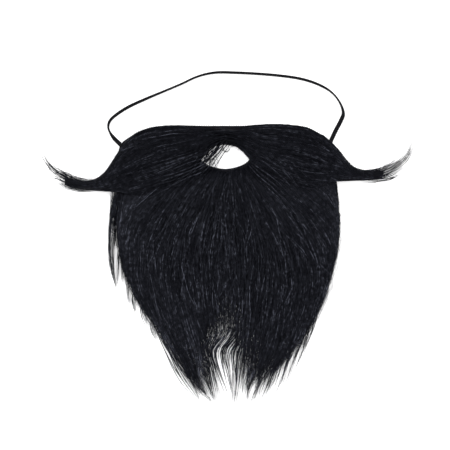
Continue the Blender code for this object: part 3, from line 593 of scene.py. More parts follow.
def mouth_limit(x, side, margin):
    """Height of the mouth hole's upper (1) or lower (-1) edge, with a margin round it."""
    half = MOUTH_WIDTH / 2 + margin
    height = (MOUTH_UPPER if side > 0 else MOUTH_LOWER) + margin
    bulge = np.maximum(0.0, 1.0 - (np.abs(x) / half) ** MOUTH_POWER) ** (1 / MOUTH_POWER)
    return MOUTH_HEIGHT_ABOVE + side * height * bulge


def mouth_edge(angle):
    """Places on the mouth hole's edge in these directions from its middle."""
    x, y = np.cos(angle), np.sin(angle)
    height = np.where(y >= 0, MOUTH_UPPER, MOUTH_LOWER)
    half = MOUTH_WIDTH / 2
    total = (np.abs(x) / half) ** MOUTH_POWER + (np.abs(y) / height) ** MOUTH_POWER
    reach = total ** (-1 / MOUTH_POWER)
    return x * reach, y * reach + MOUTH_HEIGHT_ABOVE


DOWN_STEPS = 100
DOWNS = np.linspace(0.0, 1.0, DOWN_STEPS + 1)
LINE_X = np.array([
    smooth_values((line.root, line.quarter, line.half, line.late, line.tip), DOWNS)
    for line in HAIR_LINES[1:]
]) * BEARD_HALF_WIDTH
LINE_Y = np.array([mix(line.top, line.end, DOWNS) for line in HAIR_LINES[1:]]) * -BEARD_DROP


def beard_place(number, down):
    """Plan place on the hair line with this number, at this share of its length."""
    x = sample_grid(LINE_X, number - 1, down * DOWN_STEPS)
    y = sample_grid(LINE_Y, number - 1, down * DOWN_STEPS)
    y = y - (np.maximum(down - 1.0, 0.0) + np.minimum(down, 0.0)) * BEARD_DROP
    return x, np.minimum(y, mouth_limit(x, -1, LIP_MARGIN))


def beard_floor(y):
    """Height of the hair's underside, which lies on the cloth and below it on the table."""
    return mix(BEARD_FLOOR, 0.0, np.clip((-y - BACKING_DROP - BEARD_DROPS) / BEARD_DROP_LENGTH, 0, 1))


def beard_height(number, down):
    """Height of the hair above the beard's underside."""
    share = np.interp(down, *np.transpose(BEARD_DEPTHS))
    crown = np.sin(math.pi * np.clip(number / LAST_LINE, *CROWN_ENDS)) ** CROWN_POWER
    return share * BEARD_THICKNESS * mix(CROWN_LEAST, 1.0, crown)


def wing_grid(wing):
    """Smoothed columns of a wing's table."""
    steps = np.linspace(0.0, 1.0, DOWN_STEPS + 1)
    rows = [smooth_values([getattr(row, key) for row in wing], steps) for key in WingRow._fields]
    return np.array(rows)


def wing_place(grid, side, along, across):
    """Plan place on a wing and its share of the swell."""
    place = np.clip(along, 0.0, 1.0) * DOWN_STEPS
    i = np.minimum(place.astype(int), DOWN_STEPS - 1)
    f = place - i
    out, upper, lower, swell = (mix(row[i], row[i + 1], f) for row in grid)
    x = np.maximum(out * MOUSTACHE_HALF_SPAN, GAP / 2)
    inside = x < MOUTH_WIDTH / 2 + LIP_MARGIN
    limit = mouth_limit(x, 1, LIP_MARGIN)
    low = np.where(inside, np.maximum(lower * MOUSTACHE_TOP, limit), lower * MOUSTACHE_TOP)
    return side * x, mix(upper * MOUSTACHE_TOP, low, across), swell


def wing_floor(x):
    """Height of a wing's underside, which is lower at its tip."""
    out = np.abs(x) / MOUSTACHE_HALF_SPAN
    return mix(WING_FLOOR, GAP, np.clip((out - WING_DROPS) / WING_DROP_LENGTH, 0, 1))


def wing_height(across, swell):
    """Height of the hair above the wing's underside."""
    crown = np.sin(math.pi * np.clip(across, *WING_CROWN_ENDS)) ** WING_CROWN_POWER
    return swell * mix(WING_CROWN_LEAST, 1.0, crown) * MOUSTACHE_THICKNESS


def directions(points):
    """Unit directions along each row of points."""
    steps = np.gradient(points, axis=1)
    return steps / np.maximum(np.linalg.norm(steps, axis=2, keepdims=True), 1e-9)


def new_mesh(name, vertices, starts, loops):
    """Mesh from arrays: its points, where each face starts, and the points of all faces."""
    mesh = bpy.data.meshes.new(name)
    mesh.vertices.add(len(vertices))
    mesh.vertices.foreach_set("co", np.ascontiguousarray(vertices, np.float32).ravel())
    mesh.loops.add(len(loops))
    mesh.loops.foreach_set("vertex_index", np.ascontiguousarray(loops, np.int32))
    mesh.polygons.add(len(starts))
    mesh.polygons.foreach_set("loop_start", np.ascontiguousarray(starts, np.int32))
    mesh.update(calc_edges=True)
    mesh.polygons.foreach_set("use_smooth", np.ones(len(starts), bool))
    return mesh


def smooth_mesh(name, vertices, faces):
    mesh = bpy.data.meshes.new(name)
    mesh.from_pydata(vertices, [], faces)
    mesh.polygons.foreach_set("use_smooth", np.ones(len(faces), bool))
    return mesh


def tube_faces(rings, sides, first=0):
    """Faces of a tube with closed ends; its rings of points are numbered from first."""
    faces = []
    for ring in range(rings - 1):
        for k in range(sides):
            a = first + ring * sides + k
            b = first + ring * sides + (k + 1) % sides
            faces.append((a, b, b + sides, a + sides))
    last = first + (rings - 1) * sides
    faces.append(tuple(range(first + sides - 1, first - 1, -1)))
    faces.append(tuple(range(last, last + sides)))
    return faces


def add_values(mesh, name, values):
    layer = mesh.attributes.new(name, "FLOAT", "POINT")
    layer.data.foreach_set("value", np.ascontiguousarray(values, np.float32))


def add_uv(mesh, name, values):
    layer = mesh.uv_layers.new(name=name)
    layer.data.foreach_set("uv", np.ascontiguousarray(values, np.float32).ravel())


def add_piece(name, mesh, material, record_slot, *nodes):
    piece = bpy.data.objects.new(name, mesh)
    bpy.context.scene.collection.objects.link(piece)
    mesh.materials.append(material)
    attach(piece, "root")
    if nodes:
        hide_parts(*nodes)
    return piece


def strand_mesh(name, centres, radii, tones):
    """Three-sided tubes with a closed root and a pointed tip, one for each row of centres."""
    count, rings = centres.shape[:2]
    along = directions(centres)
    side = np.cross(along, (0.0, 0.0, 1.0))
    side /= np.maximum(np.linalg.norm(side, axis=2, keepdims=True), 1e-9)
    lift = np.cross(side, along)
    turns = np.radians((90, 210, 330))
    spokes = [math.cos(t) * side + math.sin(t) * lift for t in turns]
    tube = centres[:, :-1, None] + np.stack(spokes, 2)[:, :-1] * radii[:, :-1, None, None]
    body = (rings - 1) * 3
    vertices = np.concatenate((tube.reshape(count, body, 3), centres[:, -1:]), 1)

    pattern, corners = [], []
    for ring in range(rings - 2):
        for k in range(3):
            a, b = ring * 3 + k, ring * 3 + (k + 1) % 3
            pattern.append((a, b, b + 3, a + 3))
            low, high = ring / (rings - 1), (ring + 1) / (rings - 1)
            corners.append(((k, low), (k + 1, low), (k + 1, high), (k, high)))
    last = (rings - 2) * 3
    for k in range(3):
        pattern.append((last + k, last + (k + 1) % 3, body))
        low = (rings - 2) / (rings - 1)
        corners.append(((k, low), (k + 1, low), (k + 0.5, 1.0)))
    pattern.append((2, 1, 0))
    corners.append(((0.2, 0.0), (1.5, 0.05), (2.8, 0.0)))

    loops = np.array([v for face in pattern for v in face])
    lengths = np.array([len(face) for face in pattern])
    starts = np.concatenate(([0], np.cumsum(lengths)[:-1]))
    stride = body + 1
    all_loops = (loops[None] + np.arange(count)[:, None] * stride).ravel()
    all_starts = (starts[None] + np.arange(count)[:, None] * len(loops)).ravel()
    mesh = new_mesh(name, vertices.reshape(-1, 3), all_starts, all_loops)

    cells = math.ceil(math.sqrt(count))
    unit = np.array([c for face in corners for c in face]) / (3.0, 1.0)
    unit = unit * (1 - 2 * CELL_INSET) + CELL_INSET
    cell = np.stack((np.arange(count) % cells, np.arange(count) // cells), 1)
    add_uv(mesh, "OFBake", ((cell[:, None] + unit[None]) / cells).reshape(-1, 2))
    add_values(mesh, "tone", np.repeat(tones, stride))
    downs = np.append(np.repeat(np.arange(rings - 1) / (rings - 1), 3), 1.0)
    add_values(mesh, "down", np.tile(downs, count))
    return mesh


def strand_radii(count, scale=1.0):
    """Full along most of a hair, thin at its tip, a little different from hair to hair."""
    shape = np.interp(ALONG, RADIUS_PLACES, RADIUS_SHARES)
    return HAIR_RADIUS * scale * rng.uniform(*RADIUS_RANGE, count)[:, None] * shape


def strand_tones(count):
    """Mostly dark hairs, with a few painted lighter as painted highlights."""
    tones = rng.beta(*TONE_SHAPE, count) * TONE_TOP
    # Painted highlights: a few hairs get light tones that stand for lit hairs.
    highlit = rng.random(count) < HIGHLIGHT_HAIR_SHARE
    return np.where(highlit, rng.uniform(*HIGHLIGHT_HAIR_TONES, count), tones)


def waviness(lock, size, cycles):
    """Sideways offsets of hairs that bend gently to and fro, those of one lock together."""
    locks = (lock.max() + 1, 1)
    phase = rng.uniform(0, 2 * math.pi, locks)[lock]
    turns = rng.uniform(*WAVES_RANGE, locks)[lock] * cycles
    reach = rng.normal(0.0, size, locks)[lock]
    wave = np.sin(phase + turns * 2 * math.pi * ALONG) - np.sin(phase)
    return reach * wave * ramp(*WAVES_START, ALONG)


def bend_sideways(x, y, offset):
    """Move each point of the hairs across its own direction in plan."""
    dx, dy = np.gradient(x, axis=1), np.gradient(y, axis=1)
    size = np.maximum(np.hypot(dx, dy), 1e-9)
    return x - dy / size * offset, y + dx / size * offset


def layers(count):
    """Levels of hairs that rise and dive, so that only parts of each lie on top."""
    level = rng.random((count, 1)) ** LAYER_POWER
    phase = rng.uniform(0, 2 * math.pi, (count, 1))
    size = rng.uniform(*DIVES, (count, 1))
    turns = rng.uniform(*DIVE_TURNS, (count, 1))
    return np.clip(level + size * np.sin(phase + turns * ALONG), 0.0, 1.0)


def points_at(centres, shares):
    """Points of each hair at some shares of its length."""
    place = shares * (centres.shape[1] - 1)
    i = np.minimum(place.astype(int), centres.shape[1] - 2)
    rows = np.arange(len(centres))[:, None]
    return mix(centres[rows, i], centres[rows, i + 1], (place - i)[:, :, None])


def shortened(centres, share):
    """The same hairs, each ended at a share of its length."""
    return points_at(centres, np.linspace(0.0, 1.0, centres.shape[1])[None] * share[:, None])


def without_thin_spots(centres):
    """End most of the hairs that would cover the thin places where they come to them."""
    steps = np.linspace(0.0, 1.0, THIN_STEPS)
    for spot in THIN_SPOTS:
        x, y = photo_place(spot.pixel)
        points = points_at(centres, np.repeat(steps[None], len(centres), 0))
        across = (points[:, :, 0] - x) / (spot.half_width * PIXEL)
        down = (points[:, :, 1] - y) / (spot.half_height * PIXEL)
        inside = np.hypot(across, down) < rng.uniform(*THIN_EDGE, (len(centres), 1))
        cut = inside.any(1) & (rng.random(len(centres)) > spot.kept)
        share = np.where(cut, steps[inside.argmax(1)], 1.0)
        centres = shortened(centres, share)[share > THIN_LEAST]
    return centres


def fanned_numbers(number, start, end):
    """Line numbers along each hair, which spreads from the fan's centre and then hangs down."""
    share = (end - start) / (HAIR_RINGS - 1)
    numbers = [number]
    for ring in range(HAIR_RINGS - 1):
        down = start + share * ring
        here = numbers[-1]
        x, y = beard_place(here, down)
        aside, below = beard_place(here + LINE_STEP, down), beard_place(here, down + DOWN_STEP)
        width = (aside[0] - x) / LINE_STEP
        drop = (below[1] - y) / DOWN_STEP
        fan = 1.0 - ramp(FAN_FULL, FAN_NONE, y)
        slope = fan * (x - FAN_CENTRE[0]) / np.minimum(y - FAN_CENTRE[1], FAN_LEAST_DROP)
        straight = np.where(here > MIDDLE_LINE, STRAIGHT_RIGHT, STRAIGHT_LEFT)
        wanted = (drop * slope - (below[0] - x) / DOWN_STEP) / np.maximum(width, LEAST_LINE_WIDTH)
        outward = np.clip(np.abs(here - MIDDLE_LINE) / HALF_LINES, 0, 1)
        held = outward ** 2 * ramp(HELD_NONE, HELD_FULL, y)
        numbers.append(here + wanted * mix(straight, FAN_FOLLOWED, fan) * (1.0 - held) * share)
    return np.stack(numbers, 1)


def reach_in_outline(numbers, down):
    """Share of each hair's length at which it ends: a little inside the outline where the hair
    is loose, or right on it."""
    loose_left = LOOSE_LEFT * ramp(*LEFT_LOOSENS, down)
    loose_right = LOOSE_RIGHT * ramp(*RIGHT_LOOSENS, down)
    loose = np.where(numbers > MIDDLE_LINE, loose_right, loose_left)
    margin = rng.normal(0.0, OUTLINE_SPREAD, (len(numbers), 1))
    margin = margin + loose * (np.abs(rng.normal(0, 1, (len(numbers), 1))) - LOOSE_OUTSIDE)
    over = np.abs(numbers - MIDDLE_LINE) - HALF_LINES + margin
    first = np.maximum(np.argmax(over > 0, 1), 1)
    rows = np.arange(len(numbers))
    before, after = over[rows, first - 1], over[rows, first]
    part = np.clip(-before / np.maximum(after - before, 1e-6), 0.0, 1.0)
    return np.where((over > 0).any(1), (first - 1 + part) / (HAIR_RINGS - 1), 1.0)


def beard_strands(count):
    """Centres of hairs that follow the beard's hair lines."""
    number = rng.uniform(FIRST_LINE, LAST_LINE, count)
    start = rng.uniform(0.0, LAST_ROOT, count)
    first_row = rng.random(count) < FIRST_ROW_SHARE
    start = np.where(first_row, rng.uniform(*FIRST_ROW, count), start)
    length = rng.uniform(*HAIR_LENGTHS, count)
    gap = np.exp(-((number - LOBE_GAP) / LOBE_GAP_WIDTH) ** 2)
    cap = 1.0 - np.abs(rng.normal(0, END_SPREAD, count)) - gap * rng.uniform(*GAP_SHORTER, count)
    shorter = ramp(*RIGHT_LOBE, number) * (rng.random(count) < RIGHT_SHORTER_SHARE)
    cap -= shorter * rng.uniform(*RIGHT_SHORTER, count)
    end = np.minimum(start + length, cap)
    start = np.minimum(start, end - HAIR_LENGTHS[0])

    clump_number = np.sort(rng.uniform(FIRST_LINE, LAST_LINE, CLUMPS))
    down = start[:, None] + (end - start)[:, None] * ALONG
    wander = fanned_numbers(number, start, end)
    nearest = np.searchsorted(clump_number, wander[:, -1]) + rng.integers(-1, 2, count)
    centre = clump_number[np.clip(nearest, 0, CLUMPS - 1)]
    pull = rng.uniform(*CLUMP_PULL, count)[:, None] * ALONG ** CLUMP_POWER
    crossing = np.where(rng.random(count) < CROSSING_SHARE, CROSSING, DRIFT)
    wander = wander + (rng.normal(0, 1, count) * crossing)[:, None] * (ALONG - CROSSING_PIVOT)
    wander = mix(wander, centre[:, None], pull)
    reach = reach_in_outline(wander, down)
    inset = np.abs(rng.normal(0, INSET, (count, 1))) * ramp(*INSET_ENDS, down)
    wander = MIDDLE_LINE + (wander - MIDDLE_LINE) * (1.0 - inset)
    x, y = beard_place(wander, down)
    calm = 1.0 - CALM * ramp(*CALM_LINES, np.abs(wander - MIDDLE_LINE))
    x, y = bend_sideways(x, y, calm * waviness(np.arange(count), WAVE, WAVES))
    height = beard_height(np.clip(wander, 0, LAST_LINE), np.clip(down, 0, 1)) * layers(count)
    z = beard_floor(y) + HAIR_CLEAR + height * ramp(*ROOT_RISE, ALONG)
    keep = reach > LEAST_REACH
    return without_thin_spots(shortened(np.stack((x, y, z), 2)[keep], reach[keep]))


def fringe_strands(count):
    """Centres of fine hairs whose tips make the beard's thin outer edge."""
    each = (count, 1)
    right = rng.random(each) < FRINGE_RIGHT_SHARE
    start_right = rng.uniform(*FRINGE_ROOTS_RIGHT, each)
    start_left = rng.uniform(*FRINGE_ROOTS_LEFT, each)
    start = np.where(right, start_right, start_left)
    end = start + rng.uniform(*FRINGE_LENGTHS, each)
    end = np.minimum(end, rng.normal(FRINGE_END, FRINGE_END_SPREAD, each))
    down = mix(start, end, ALONG)
    inner = rng.uniform(*FRINGE_INNER, each) + FRINGE_LOW_INNER * ramp(*FRINGE_LOW_ROOTS, start)
    outer = np.maximum(rng.normal(FRINGE_OUTER, FRINGE_OUTER_SPREAD, each), FRINGE_OUTERMOST)
    aside = mix(inner, outer, ALONG ** rng.uniform(*FRINGE_BEND, each))
    number = np.where(right, LAST_LINE - aside, FIRST_LINE + aside)
    x, y = beard_place(number, down)
    x, y = bend_sideways(x, y, waviness(np.arange(count), FRINGE_WAVE, FRINGE_WAVES))
    height = beard_height(np.clip(number, 0, LAST_LINE), np.clip(down, 0, 1))
    height = height * rng.uniform(*FRINGE_LEVELS, each)
    return np.stack((x, y, beard_floor(y) + HAIR_CLEAR + height), 2)


def wing_strands(grid, side, count):
    """Centres of hairs that sweep along a moustache wing."""
    start = rng.uniform(0.0, WING_LAST_ROOT, count) ** WING_ROOT_POWER
    short = rng.random(count) < WING_SHORT_SHARE
    cap = np.where(short, rng.normal(WING_END, WING_END_SPREAD, count), WING_LONG_END)
    cap = np.clip(cap - np.abs(rng.normal(0, END_SPREAD, count)), WING_EARLIEST_END, 1.0)
    end = np.minimum(start + rng.uniform(*WING_LENGTHS, count), cap)
    start = np.minimum(start, end - WING_LEAST_LENGTH)
    across = rng.uniform(0.0, WING_LANES, count)
    drift = rng.normal(0, WING_DRIFT, count)
    place = start[:, None] + (end - start)[:, None] * ALONG
    stray = rng.uniform(0.0, STRAY, (count, 1)) * ramp(*STRAY_STARTS, place)
    stray = stray * (1.0 - ramp(*STRAY_ENDS, place))
    lane = np.clip(across[:, None] + drift[:, None] * ALONG, 0.0, 1.0 + stray)
    x, y, swell = wing_place(grid, side, place, lane)
    fan = rng.normal(0, 1.0, FANS)[rng.integers(0, FANS, count)] * FAN_SPREAD
    spread = (fan + rng.normal(0, FAN_SCATTER, count))[:, None] * ramp(*FAN_ENDS, place)
    calm = 1.0 - WING_CALM * ramp(*WING_CALM_LANES, np.abs(lane - 0.5))
    wave = waviness(np.arange(count), WING_WAVE, WING_WAVES)
    x, y = bend_sideways(x, y, calm * wave + spread)
    height = wing_height(lane, swell) * layers(count)
    z = wing_floor(x) + HAIR_CLEAR + height * ramp(*WING_RISE, ALONG)
    return np.stack((x, y, z), 2)


def wisp_strands(wisp, least=WISP_LEAST):
    """Centres of one group of hairs along its own path, at least at this share of its height."""
    each = (wisp.count, 1)
    columns, rows, halves = np.transpose(wisp.points)
    path_x, path_y = photo_place((columns, rows))
    mean_half = np.mean(halves)
    locks = max(WISP_LOCKS, mean_half / WISP_LOCK)
    offset = np.clip(rng.normal(0, WISP_ACROSS, each), -WISP_EDGE, WISP_EDGE)
    lock = np.round(offset * locks).astype(int)
    offset = lock / locks + rng.normal(0, wisp.spread / mean_half, each)
    crossing = np.round(rng.normal(0, WISP_CROSSING, each) * locks) / locks
    offset = offset + crossing * ramp(*WISP_CROSSES, ALONG)
    first = rng.uniform(0.0, WISP_ROOTS, each)
    last = 1.0 - wisp.ragged * rng.random(each) ** 2
    place = mix(first, last, ALONG)
    half = smooth_values(halves, place) * PIXEL
    wave = waviness(lock[:, 0] - lock.min(), WISP_WAVE * mean_half, WISP_WAVES)
    x, y = smooth_values(path_x, place), smooth_values(path_y, place)
    x, y = bend_sideways(x, y, offset * half + wave)
    top = mix(wisp.root_z, wisp.tip_z, place) / 1000
    z = HAIR_CLEAR + top * rng.uniform(least, 1.0, each)
    return np.stack((x, y, z), 2)


def all_wisps(wisps, least=WISP_LEAST):
    return np.concatenate([wisp_strands(wisp, least) for wisp in wisps])


def veil_strands(count):
    """Centres of fine hairs that sway left and right between the lobes."""
    each = (count, 1)
    start = rng.uniform(*VEIL_ROOTS, each)
    end = rng.uniform(*VEIL_TIPS, each)
    place = mix(start, end, ALONG)
    lock = rng.integers(0, VEIL_LOCKS, each)
    across = (lock + 0.5) / VEIL_LOCKS + rng.normal(0, VEIL_SPREAD / VEIL_LOCKS, each)
    across = across + rng.normal(0, VEIL_SPLAY / VEIL_LOCKS, VEIL_LOCKS)[lock] * ALONG
    row, left, middle, right = (smooth_values(values, place) for values in np.transpose(VEIL))
    column = np.where(across < 0.5, mix(left, middle, 2 * across), mix(middle, right, 2 * across - 1))
    phase = rng.normal(0.0, VEIL_PHASES[0], VEIL_LOCKS)[lock] + rng.normal(0.0, VEIL_PHASES[1], each)
    sway = rng.uniform(*VEIL_SWAYS, VEIL_LOCKS)[lock] * VEIL_SWAY * ramp(*VEIL_SWAY_START, place)
    column = column - sway * np.sin(place * VEIL_TURNS * math.pi - VEIL_PHASE + phase)
    x, y = photo_place((column, row))
    x, y = bend_sideways(x, y, waviness(np.arange(count), VEIL_WAVE, VEIL_WAVES))
    top = mix(VEIL_ROOT_TOP, VEIL_TIP_TOP, place)
    z = VEIL_FLOOR + top * rng.uniform(VEIL_LEAST, 1.0, each)
    return np.stack((x, y, z), 2)


def core_mesh(name, lower, upper, flow):
    """Closed body between two grids of points, with a map that runs along the hair."""
    rows, columns = lower.shape[:2]
    layer = rows * columns
    vertices = np.concatenate((lower.reshape(-1, 3), upper.reshape(-1, 3)))
    faces = []
    for r in range(rows - 1):
        for c in range(columns - 1):
            a = r * columns + c
            faces.append((a, a + 1, a + columns + 1, a + columns))
            faces.append((layer + a, layer + a + columns, layer + a + columns + 1, layer + a + 1))
    rim = list(range(columns)) + [r * columns + columns - 1 for r in range(1, rows)]
    rim += [(rows - 1) * columns + c for c in range(columns - 2, -1, -1)]
    rim += [r * columns for r in range(rows - 2, 0, -1)]
    for a, b in zip(rim, rim[1:] + rim[:1]):
        faces.append((a, layer + a, layer + b, b))
    mesh = smooth_mesh(name, vertices.tolist(), faces)
    both = np.concatenate((flow.reshape(-1, 2), flow.reshape(-1, 2)))
    corners = np.zeros(len(mesh.loops), np.int32)
    mesh.loops.foreach_get("vertex_index", corners)
    add_uv(mesh, "flow", both[corners])
    return mesh


def core_relief(across, along):
    """Locks as long low ridges: 0 in the furrows, 1 on the backs."""
    bend = sum(size * np.sin(along * pitch + start) for size, pitch, start in RELIEF_BENDS)
    return sum(share * (0.5 + 0.5 * np.sin(across * pitch * math.pi + turn * bend))
               for share, pitch, turn in RELIEF_LOCKS)


def beard_core():
    """Dense under hair of the beard, inside its outline and short of its thin ends."""
    number, down = np.meshgrid(np.linspace(*CORE_LINES, CORE_POINTS[0]),
                               np.linspace(*CORE_DOWNS, CORE_POINTS[1]))
    shorter = 1.0 - CORE_GAP * np.exp(-((number - LOBE_GAP) / CORE_GAP_WIDTH) ** 2)
    down = down * shorter
    narrower = 1.0 - CORE_NARROWER * ramp(*CORE_NARROWS, down)
    x, y = beard_place(MIDDLE_LINE + (number - MIDDLE_LINE) * narrower, down)
    share = CORE_SHARE + CORE_RELIEF * core_relief(number, down * RELIEF_DOWN)
    first, last = CORE_LINES
    edge = np.minimum(ramp(first, first + CORE_EDGE, number), 1 - ramp(last - CORE_EDGE, last, number))
    end = 1 - ramp(*CORE_THINS, down / shorter)
    thick = CORE_LEAST + beard_height(number, down) * share * edge * mix(CORE_TIP, 1.0, end)
    z = beard_floor(y) + HAIR_CLEAR + thick * ramp(*CORE_RISE, down)
    flow = np.stack((number, down * FLOW_DOWN), 2)
    return np.stack((x, y, beard_floor(y) + CORE_FLOOR), 2), np.stack((x, y, z), 2), flow


def wing_core(grid, side):
    """Dense under hair of a moustache wing."""
    lane, place = np.meshgrid(np.linspace(*WING_CORE_LANES, WING_CORE_POINTS[0]),
                              np.linspace(*WING_CORE_PLACES, WING_CORE_POINTS[1]))
    x, y, swell = wing_place(grid, side, place, lane)
    share = CORE_SHARE + CORE_RELIEF * core_relief(lane * WING_CORE_LOCKS, place * RELIEF_DOWN)
    end = 1 - ramp(*WING_CORE_THINS, place)
    thick = wing_height(lane, swell) * share * mix(WING_CORE_TIP, 1.0, end)
    z = wing_floor(x) + WING_CORE_LEAST + thick
    flow = np.stack((lane * WING_CORE_LOCKS, place * FLOW_DOWN), 2)
    return np.stack((x, y, wing_floor(x) + CORE_FLOOR), 2), np.stack((x, y, z), 2), flow


def add_strands(name, centres, material, record_slot, node, scale=1.0, tones=None):
    """Piece of hairs with their own tones, or with random ones, with painted shade below the
    moustache.
    """
    radii = strand_radii(len(centres), scale)
    centres[:, :, 2] = np.maximum(centres[:, :, 2], radii)
    if tones is None:
        tones = strand_tones(len(centres))
        # Painted shade: the beard's hairs are darker right below the moustache.
        if node == "beard_hair":
            tones = tones * mix(LIP_SHADE, 1.0, ramp(*LIP_SHADE_ENDS, centres[:, HAIR_RINGS // 2, 1]))
    mesh = strand_mesh(name, centres, radii, tones)
    return add_piece(name, mesh, material, record_slot, node)


def set_inputs(material, node, **inputs):
    """Inputs of a shader node: values, or outputs of other nodes to link."""
    for name, value in inputs.items():
        socket = node.inputs[name.replace("_", " ")]
        if isinstance(value, bpy.types.NodeSocket):
            material.node_tree.links.new(value, socket)
        else:
            socket.default_value = value


def add_node(material, kind, **inputs):
    node = material.node_tree.nodes.new(kind)
    set_inputs(material, node, **inputs)
    return node


def new_material(name):
    material = bpy.data.materials.new(name)
    material.use_nodes = True
    return material, material.node_tree.nodes["Principled BSDF"]


def colour_ramp(material, factor, stops):
    node = add_node(material, "ShaderNodeValToRGB", Fac=factor)
    elements = node.color_ramp.elements
    while len(elements) < len(stops):
        elements.new(0.5)
    for element, (place, colour) in zip(elements, stops):
        element.position = place
        element.color = (*colour, 1.0)
    return node.outputs["Color"]


def math_node(material, operation, *values):
    node = material.node_tree.nodes.new("ShaderNodeMath")
    node.operation = operation
    for socket, value in zip(node.inputs, values):
        if isinstance(value, bpy.types.NodeSocket):
            material.node_tree.links.new(value, socket)
        else:
            socket.default_value = value
    return node.outputs["Value"]


def ranged(material, value, low, high, least=0.0, most=1.0):
    """Output that goes from low to high where value goes from least to most."""
    node = add_node(material, "ShaderNodeMapRange", Value=value, From_Min=least, From_Max=most,
                    To_Min=low, To_Max=high)
    return node.outputs["Result"]


def noise(material, place, scale, detail):
    node = add_node(material, "ShaderNodeTexNoise", Vector=place, Scale=scale, Detail=detail)
    return node.outputs["Fac"]


def attribute(material, name):
    node = material.node_tree.nodes.new("ShaderNodeAttribute")
    node.attribute_name = name
    return node.outputs["Fac"]


def object_place(material):
    return add_node(material, "ShaderNodeTexCoord").outputs["Object"]


def map_place(material, name):
    node = add_node(material, "ShaderNodeUVMap")
    node.uv_map = name
    return node.outputs["UV"]


def set_surface(material, shader, colour, rough, height, strength, depth, **inputs):
    """Colour, roughness and bump of a material, with the shader's other inputs."""
    bump = add_node(material, "ShaderNodeBump", Height=height, Strength=strength, Distance=depth)
    set_inputs(material, shader, Base_Color=colour, Roughness=rough, Normal=bump.outputs["Normal"],
               **inputs)


def hair_material(name, dark, light):
    """Black synthetic hair: each hair with its own tone, uneven along its length, and darker towards
    its root as painted shade.
    """
    material, shader = new_material(name)
    place = object_place(material)
    patches = noise(material, place, scale=90.0, detail=3.0)
    fine = noise(material, place, scale=520.0, detail=4.0)
    speckle = ranged(material, fine, low=0.40, high=1.45, least=0.40, most=0.62)
    # Painted shade: each hair darkens towards its root, for the shade that the hairs above cast there.
    root = ranged(material, attribute(material, "down"), low=0.35, high=1.0, most=0.35)
    tone = math_node(material, "MULTIPLY", attribute(material, "tone"), speckle)
    patch = math_node(material, "MULTIPLY_ADD", patches, 0.10, tone)
    between = tuple(mix(d, l, 0.25) for d, l in zip(dark, light))
    colour = colour_ramp(material, math_node(material, "MULTIPLY", patch, root),
                         ((0.0, dark), (0.55, between), (1.0, light)))
    rough = ranged(material, fine, low=0.38, high=0.62)
    set_surface(material, shader, colour, rough, fine, strength=0.25, depth=0.00005,
                Specular_IOR_Level=0.06)
    return material


def core_material(name, dark, light):
    """Dense hair under the strands: streaks along the flow, in colour and as bump."""
    material, shader = new_material(name)
    stretch = add_node(material, "ShaderNodeMapping", Vector=map_place(material, "flow"),
                       Scale=(26.0, 1.2, 1.0))
    streaks = noise(material, stretch.outputs["Vector"], scale=3.0, detail=6.0)
    colour = colour_ramp(material, streaks, ((0.3, dark), (0.75, light)))
    rough = ranged(material, streaks, low=0.45, high=0.75)
    set_surface(material, shader, colour, rough, streaks, strength=0.9, depth=0.0004,
                Specular_IOR_Level=0.12)
    return material


def elastic_material(name, dark, light):
    """Knitted elastic with ribs along its length."""
    material, shader = new_material(name)
    ribs = add_node(material, "ShaderNodeTexWave", Vector=map_place(material, "ribbon"), Scale=1.0,
                    Distortion=0.6)
    ribs.bands_direction = "X"
    ribs = ribs.outputs["Fac"]
    fine = add_node(material, "ShaderNodeTexNoise", Scale=3000.0).outputs["Fac"]
    colour = colour_ramp(material, ribs, ((0.0, dark), (1.0, light)))
    rough = ranged(material, fine, low=0.6, high=0.85)
    set_surface(material, shader, colour, rough, ribs, strength=0.6, depth=0.0001,
                Specular_IOR_Level=0.1)
    return material


def cloth_material(name, dark, light):
    """Black woven cloth with its yarns as bump."""
    material, shader = new_material(name)
    place = object_place(material)
    weave = []
    for direction in ("X", "Y"):
        node = add_node(material, "ShaderNodeTexWave", Vector=place, Scale=420.0, Distortion=1.2,
                        Detail_Scale=1.5)
        node.bands_direction = direction
        weave.append(node.outputs["Fac"])
    yarns = math_node(material, "MAXIMUM", *weave)
    fuzz = noise(material, place, scale=700.0, detail=4.0)
    mixed = math_node(material, "MULTIPLY", yarns, fuzz)
    colour = colour_ramp(material, mixed, ((0.1, dark), (0.8, light)))
    rough = ranged(material, fuzz, low=0.75, high=0.98)
    set_surface(material, shader, colour, rough, mixed, strength=0.7, depth=0.0002,
                Specular_IOR_Level=0.15, Sheen_Weight=0.05)
    return material


def thread_material(name, dark, light):
    """Black twisted sewing thread."""
    material, shader = new_material(name)
    twist = noise(material, object_place(material), scale=2600.0, detail=2.0)
    colour = colour_ramp(material, twist, ((0.3, dark), (0.7, light)))
    rough = ranged(material, twist, low=0.45, high=0.70)
    set_surface(material, shader, colour, rough, twist, strength=0.5, depth=0.0001)
    return material


def add_camera():
    """Straight down on the middle of the photograph."""
    data = bpy.data.cameras.new("camera")
    data.sensor_width = SENSOR_WIDTH
    data.lens = SENSOR_WIDTH * CAMERA_HEIGHT / (PHOTO_WIDTH * PIXEL)
    data.clip_start = 0.01
    data.clip_end = 20.0
    camera = bpy.data.objects.new("camera", data)
    x, y = photo_place((PHOTO_WIDTH / 2, PHOTO_WIDTH / 2))
    camera.location = (x, y, CAMERA_HEIGHT)
    bpy.context.scene.collection.objects.link(camera)
    bpy.context.scene.camera = camera


def add_lamp(lamp):
    """Square lamp that points at the frame's origin."""
    data = bpy.data.lights.new(lamp.name, "AREA")
    data.shape = "SQUARE"
    data.size = lamp.size
    data.energy = lamp.power
    light = bpy.data.objects.new(lamp.name, data)
    light.location = lamp.place
    aim = -np.array(lamp.place)
    light.rotation_euler = (math.atan2(math.hypot(aim[0], aim[1]), -aim[2]), 0,
                            math.atan2(aim[0], -aim[1]) + math.pi)
    bpy.context.scene.collection.objects.link(light)


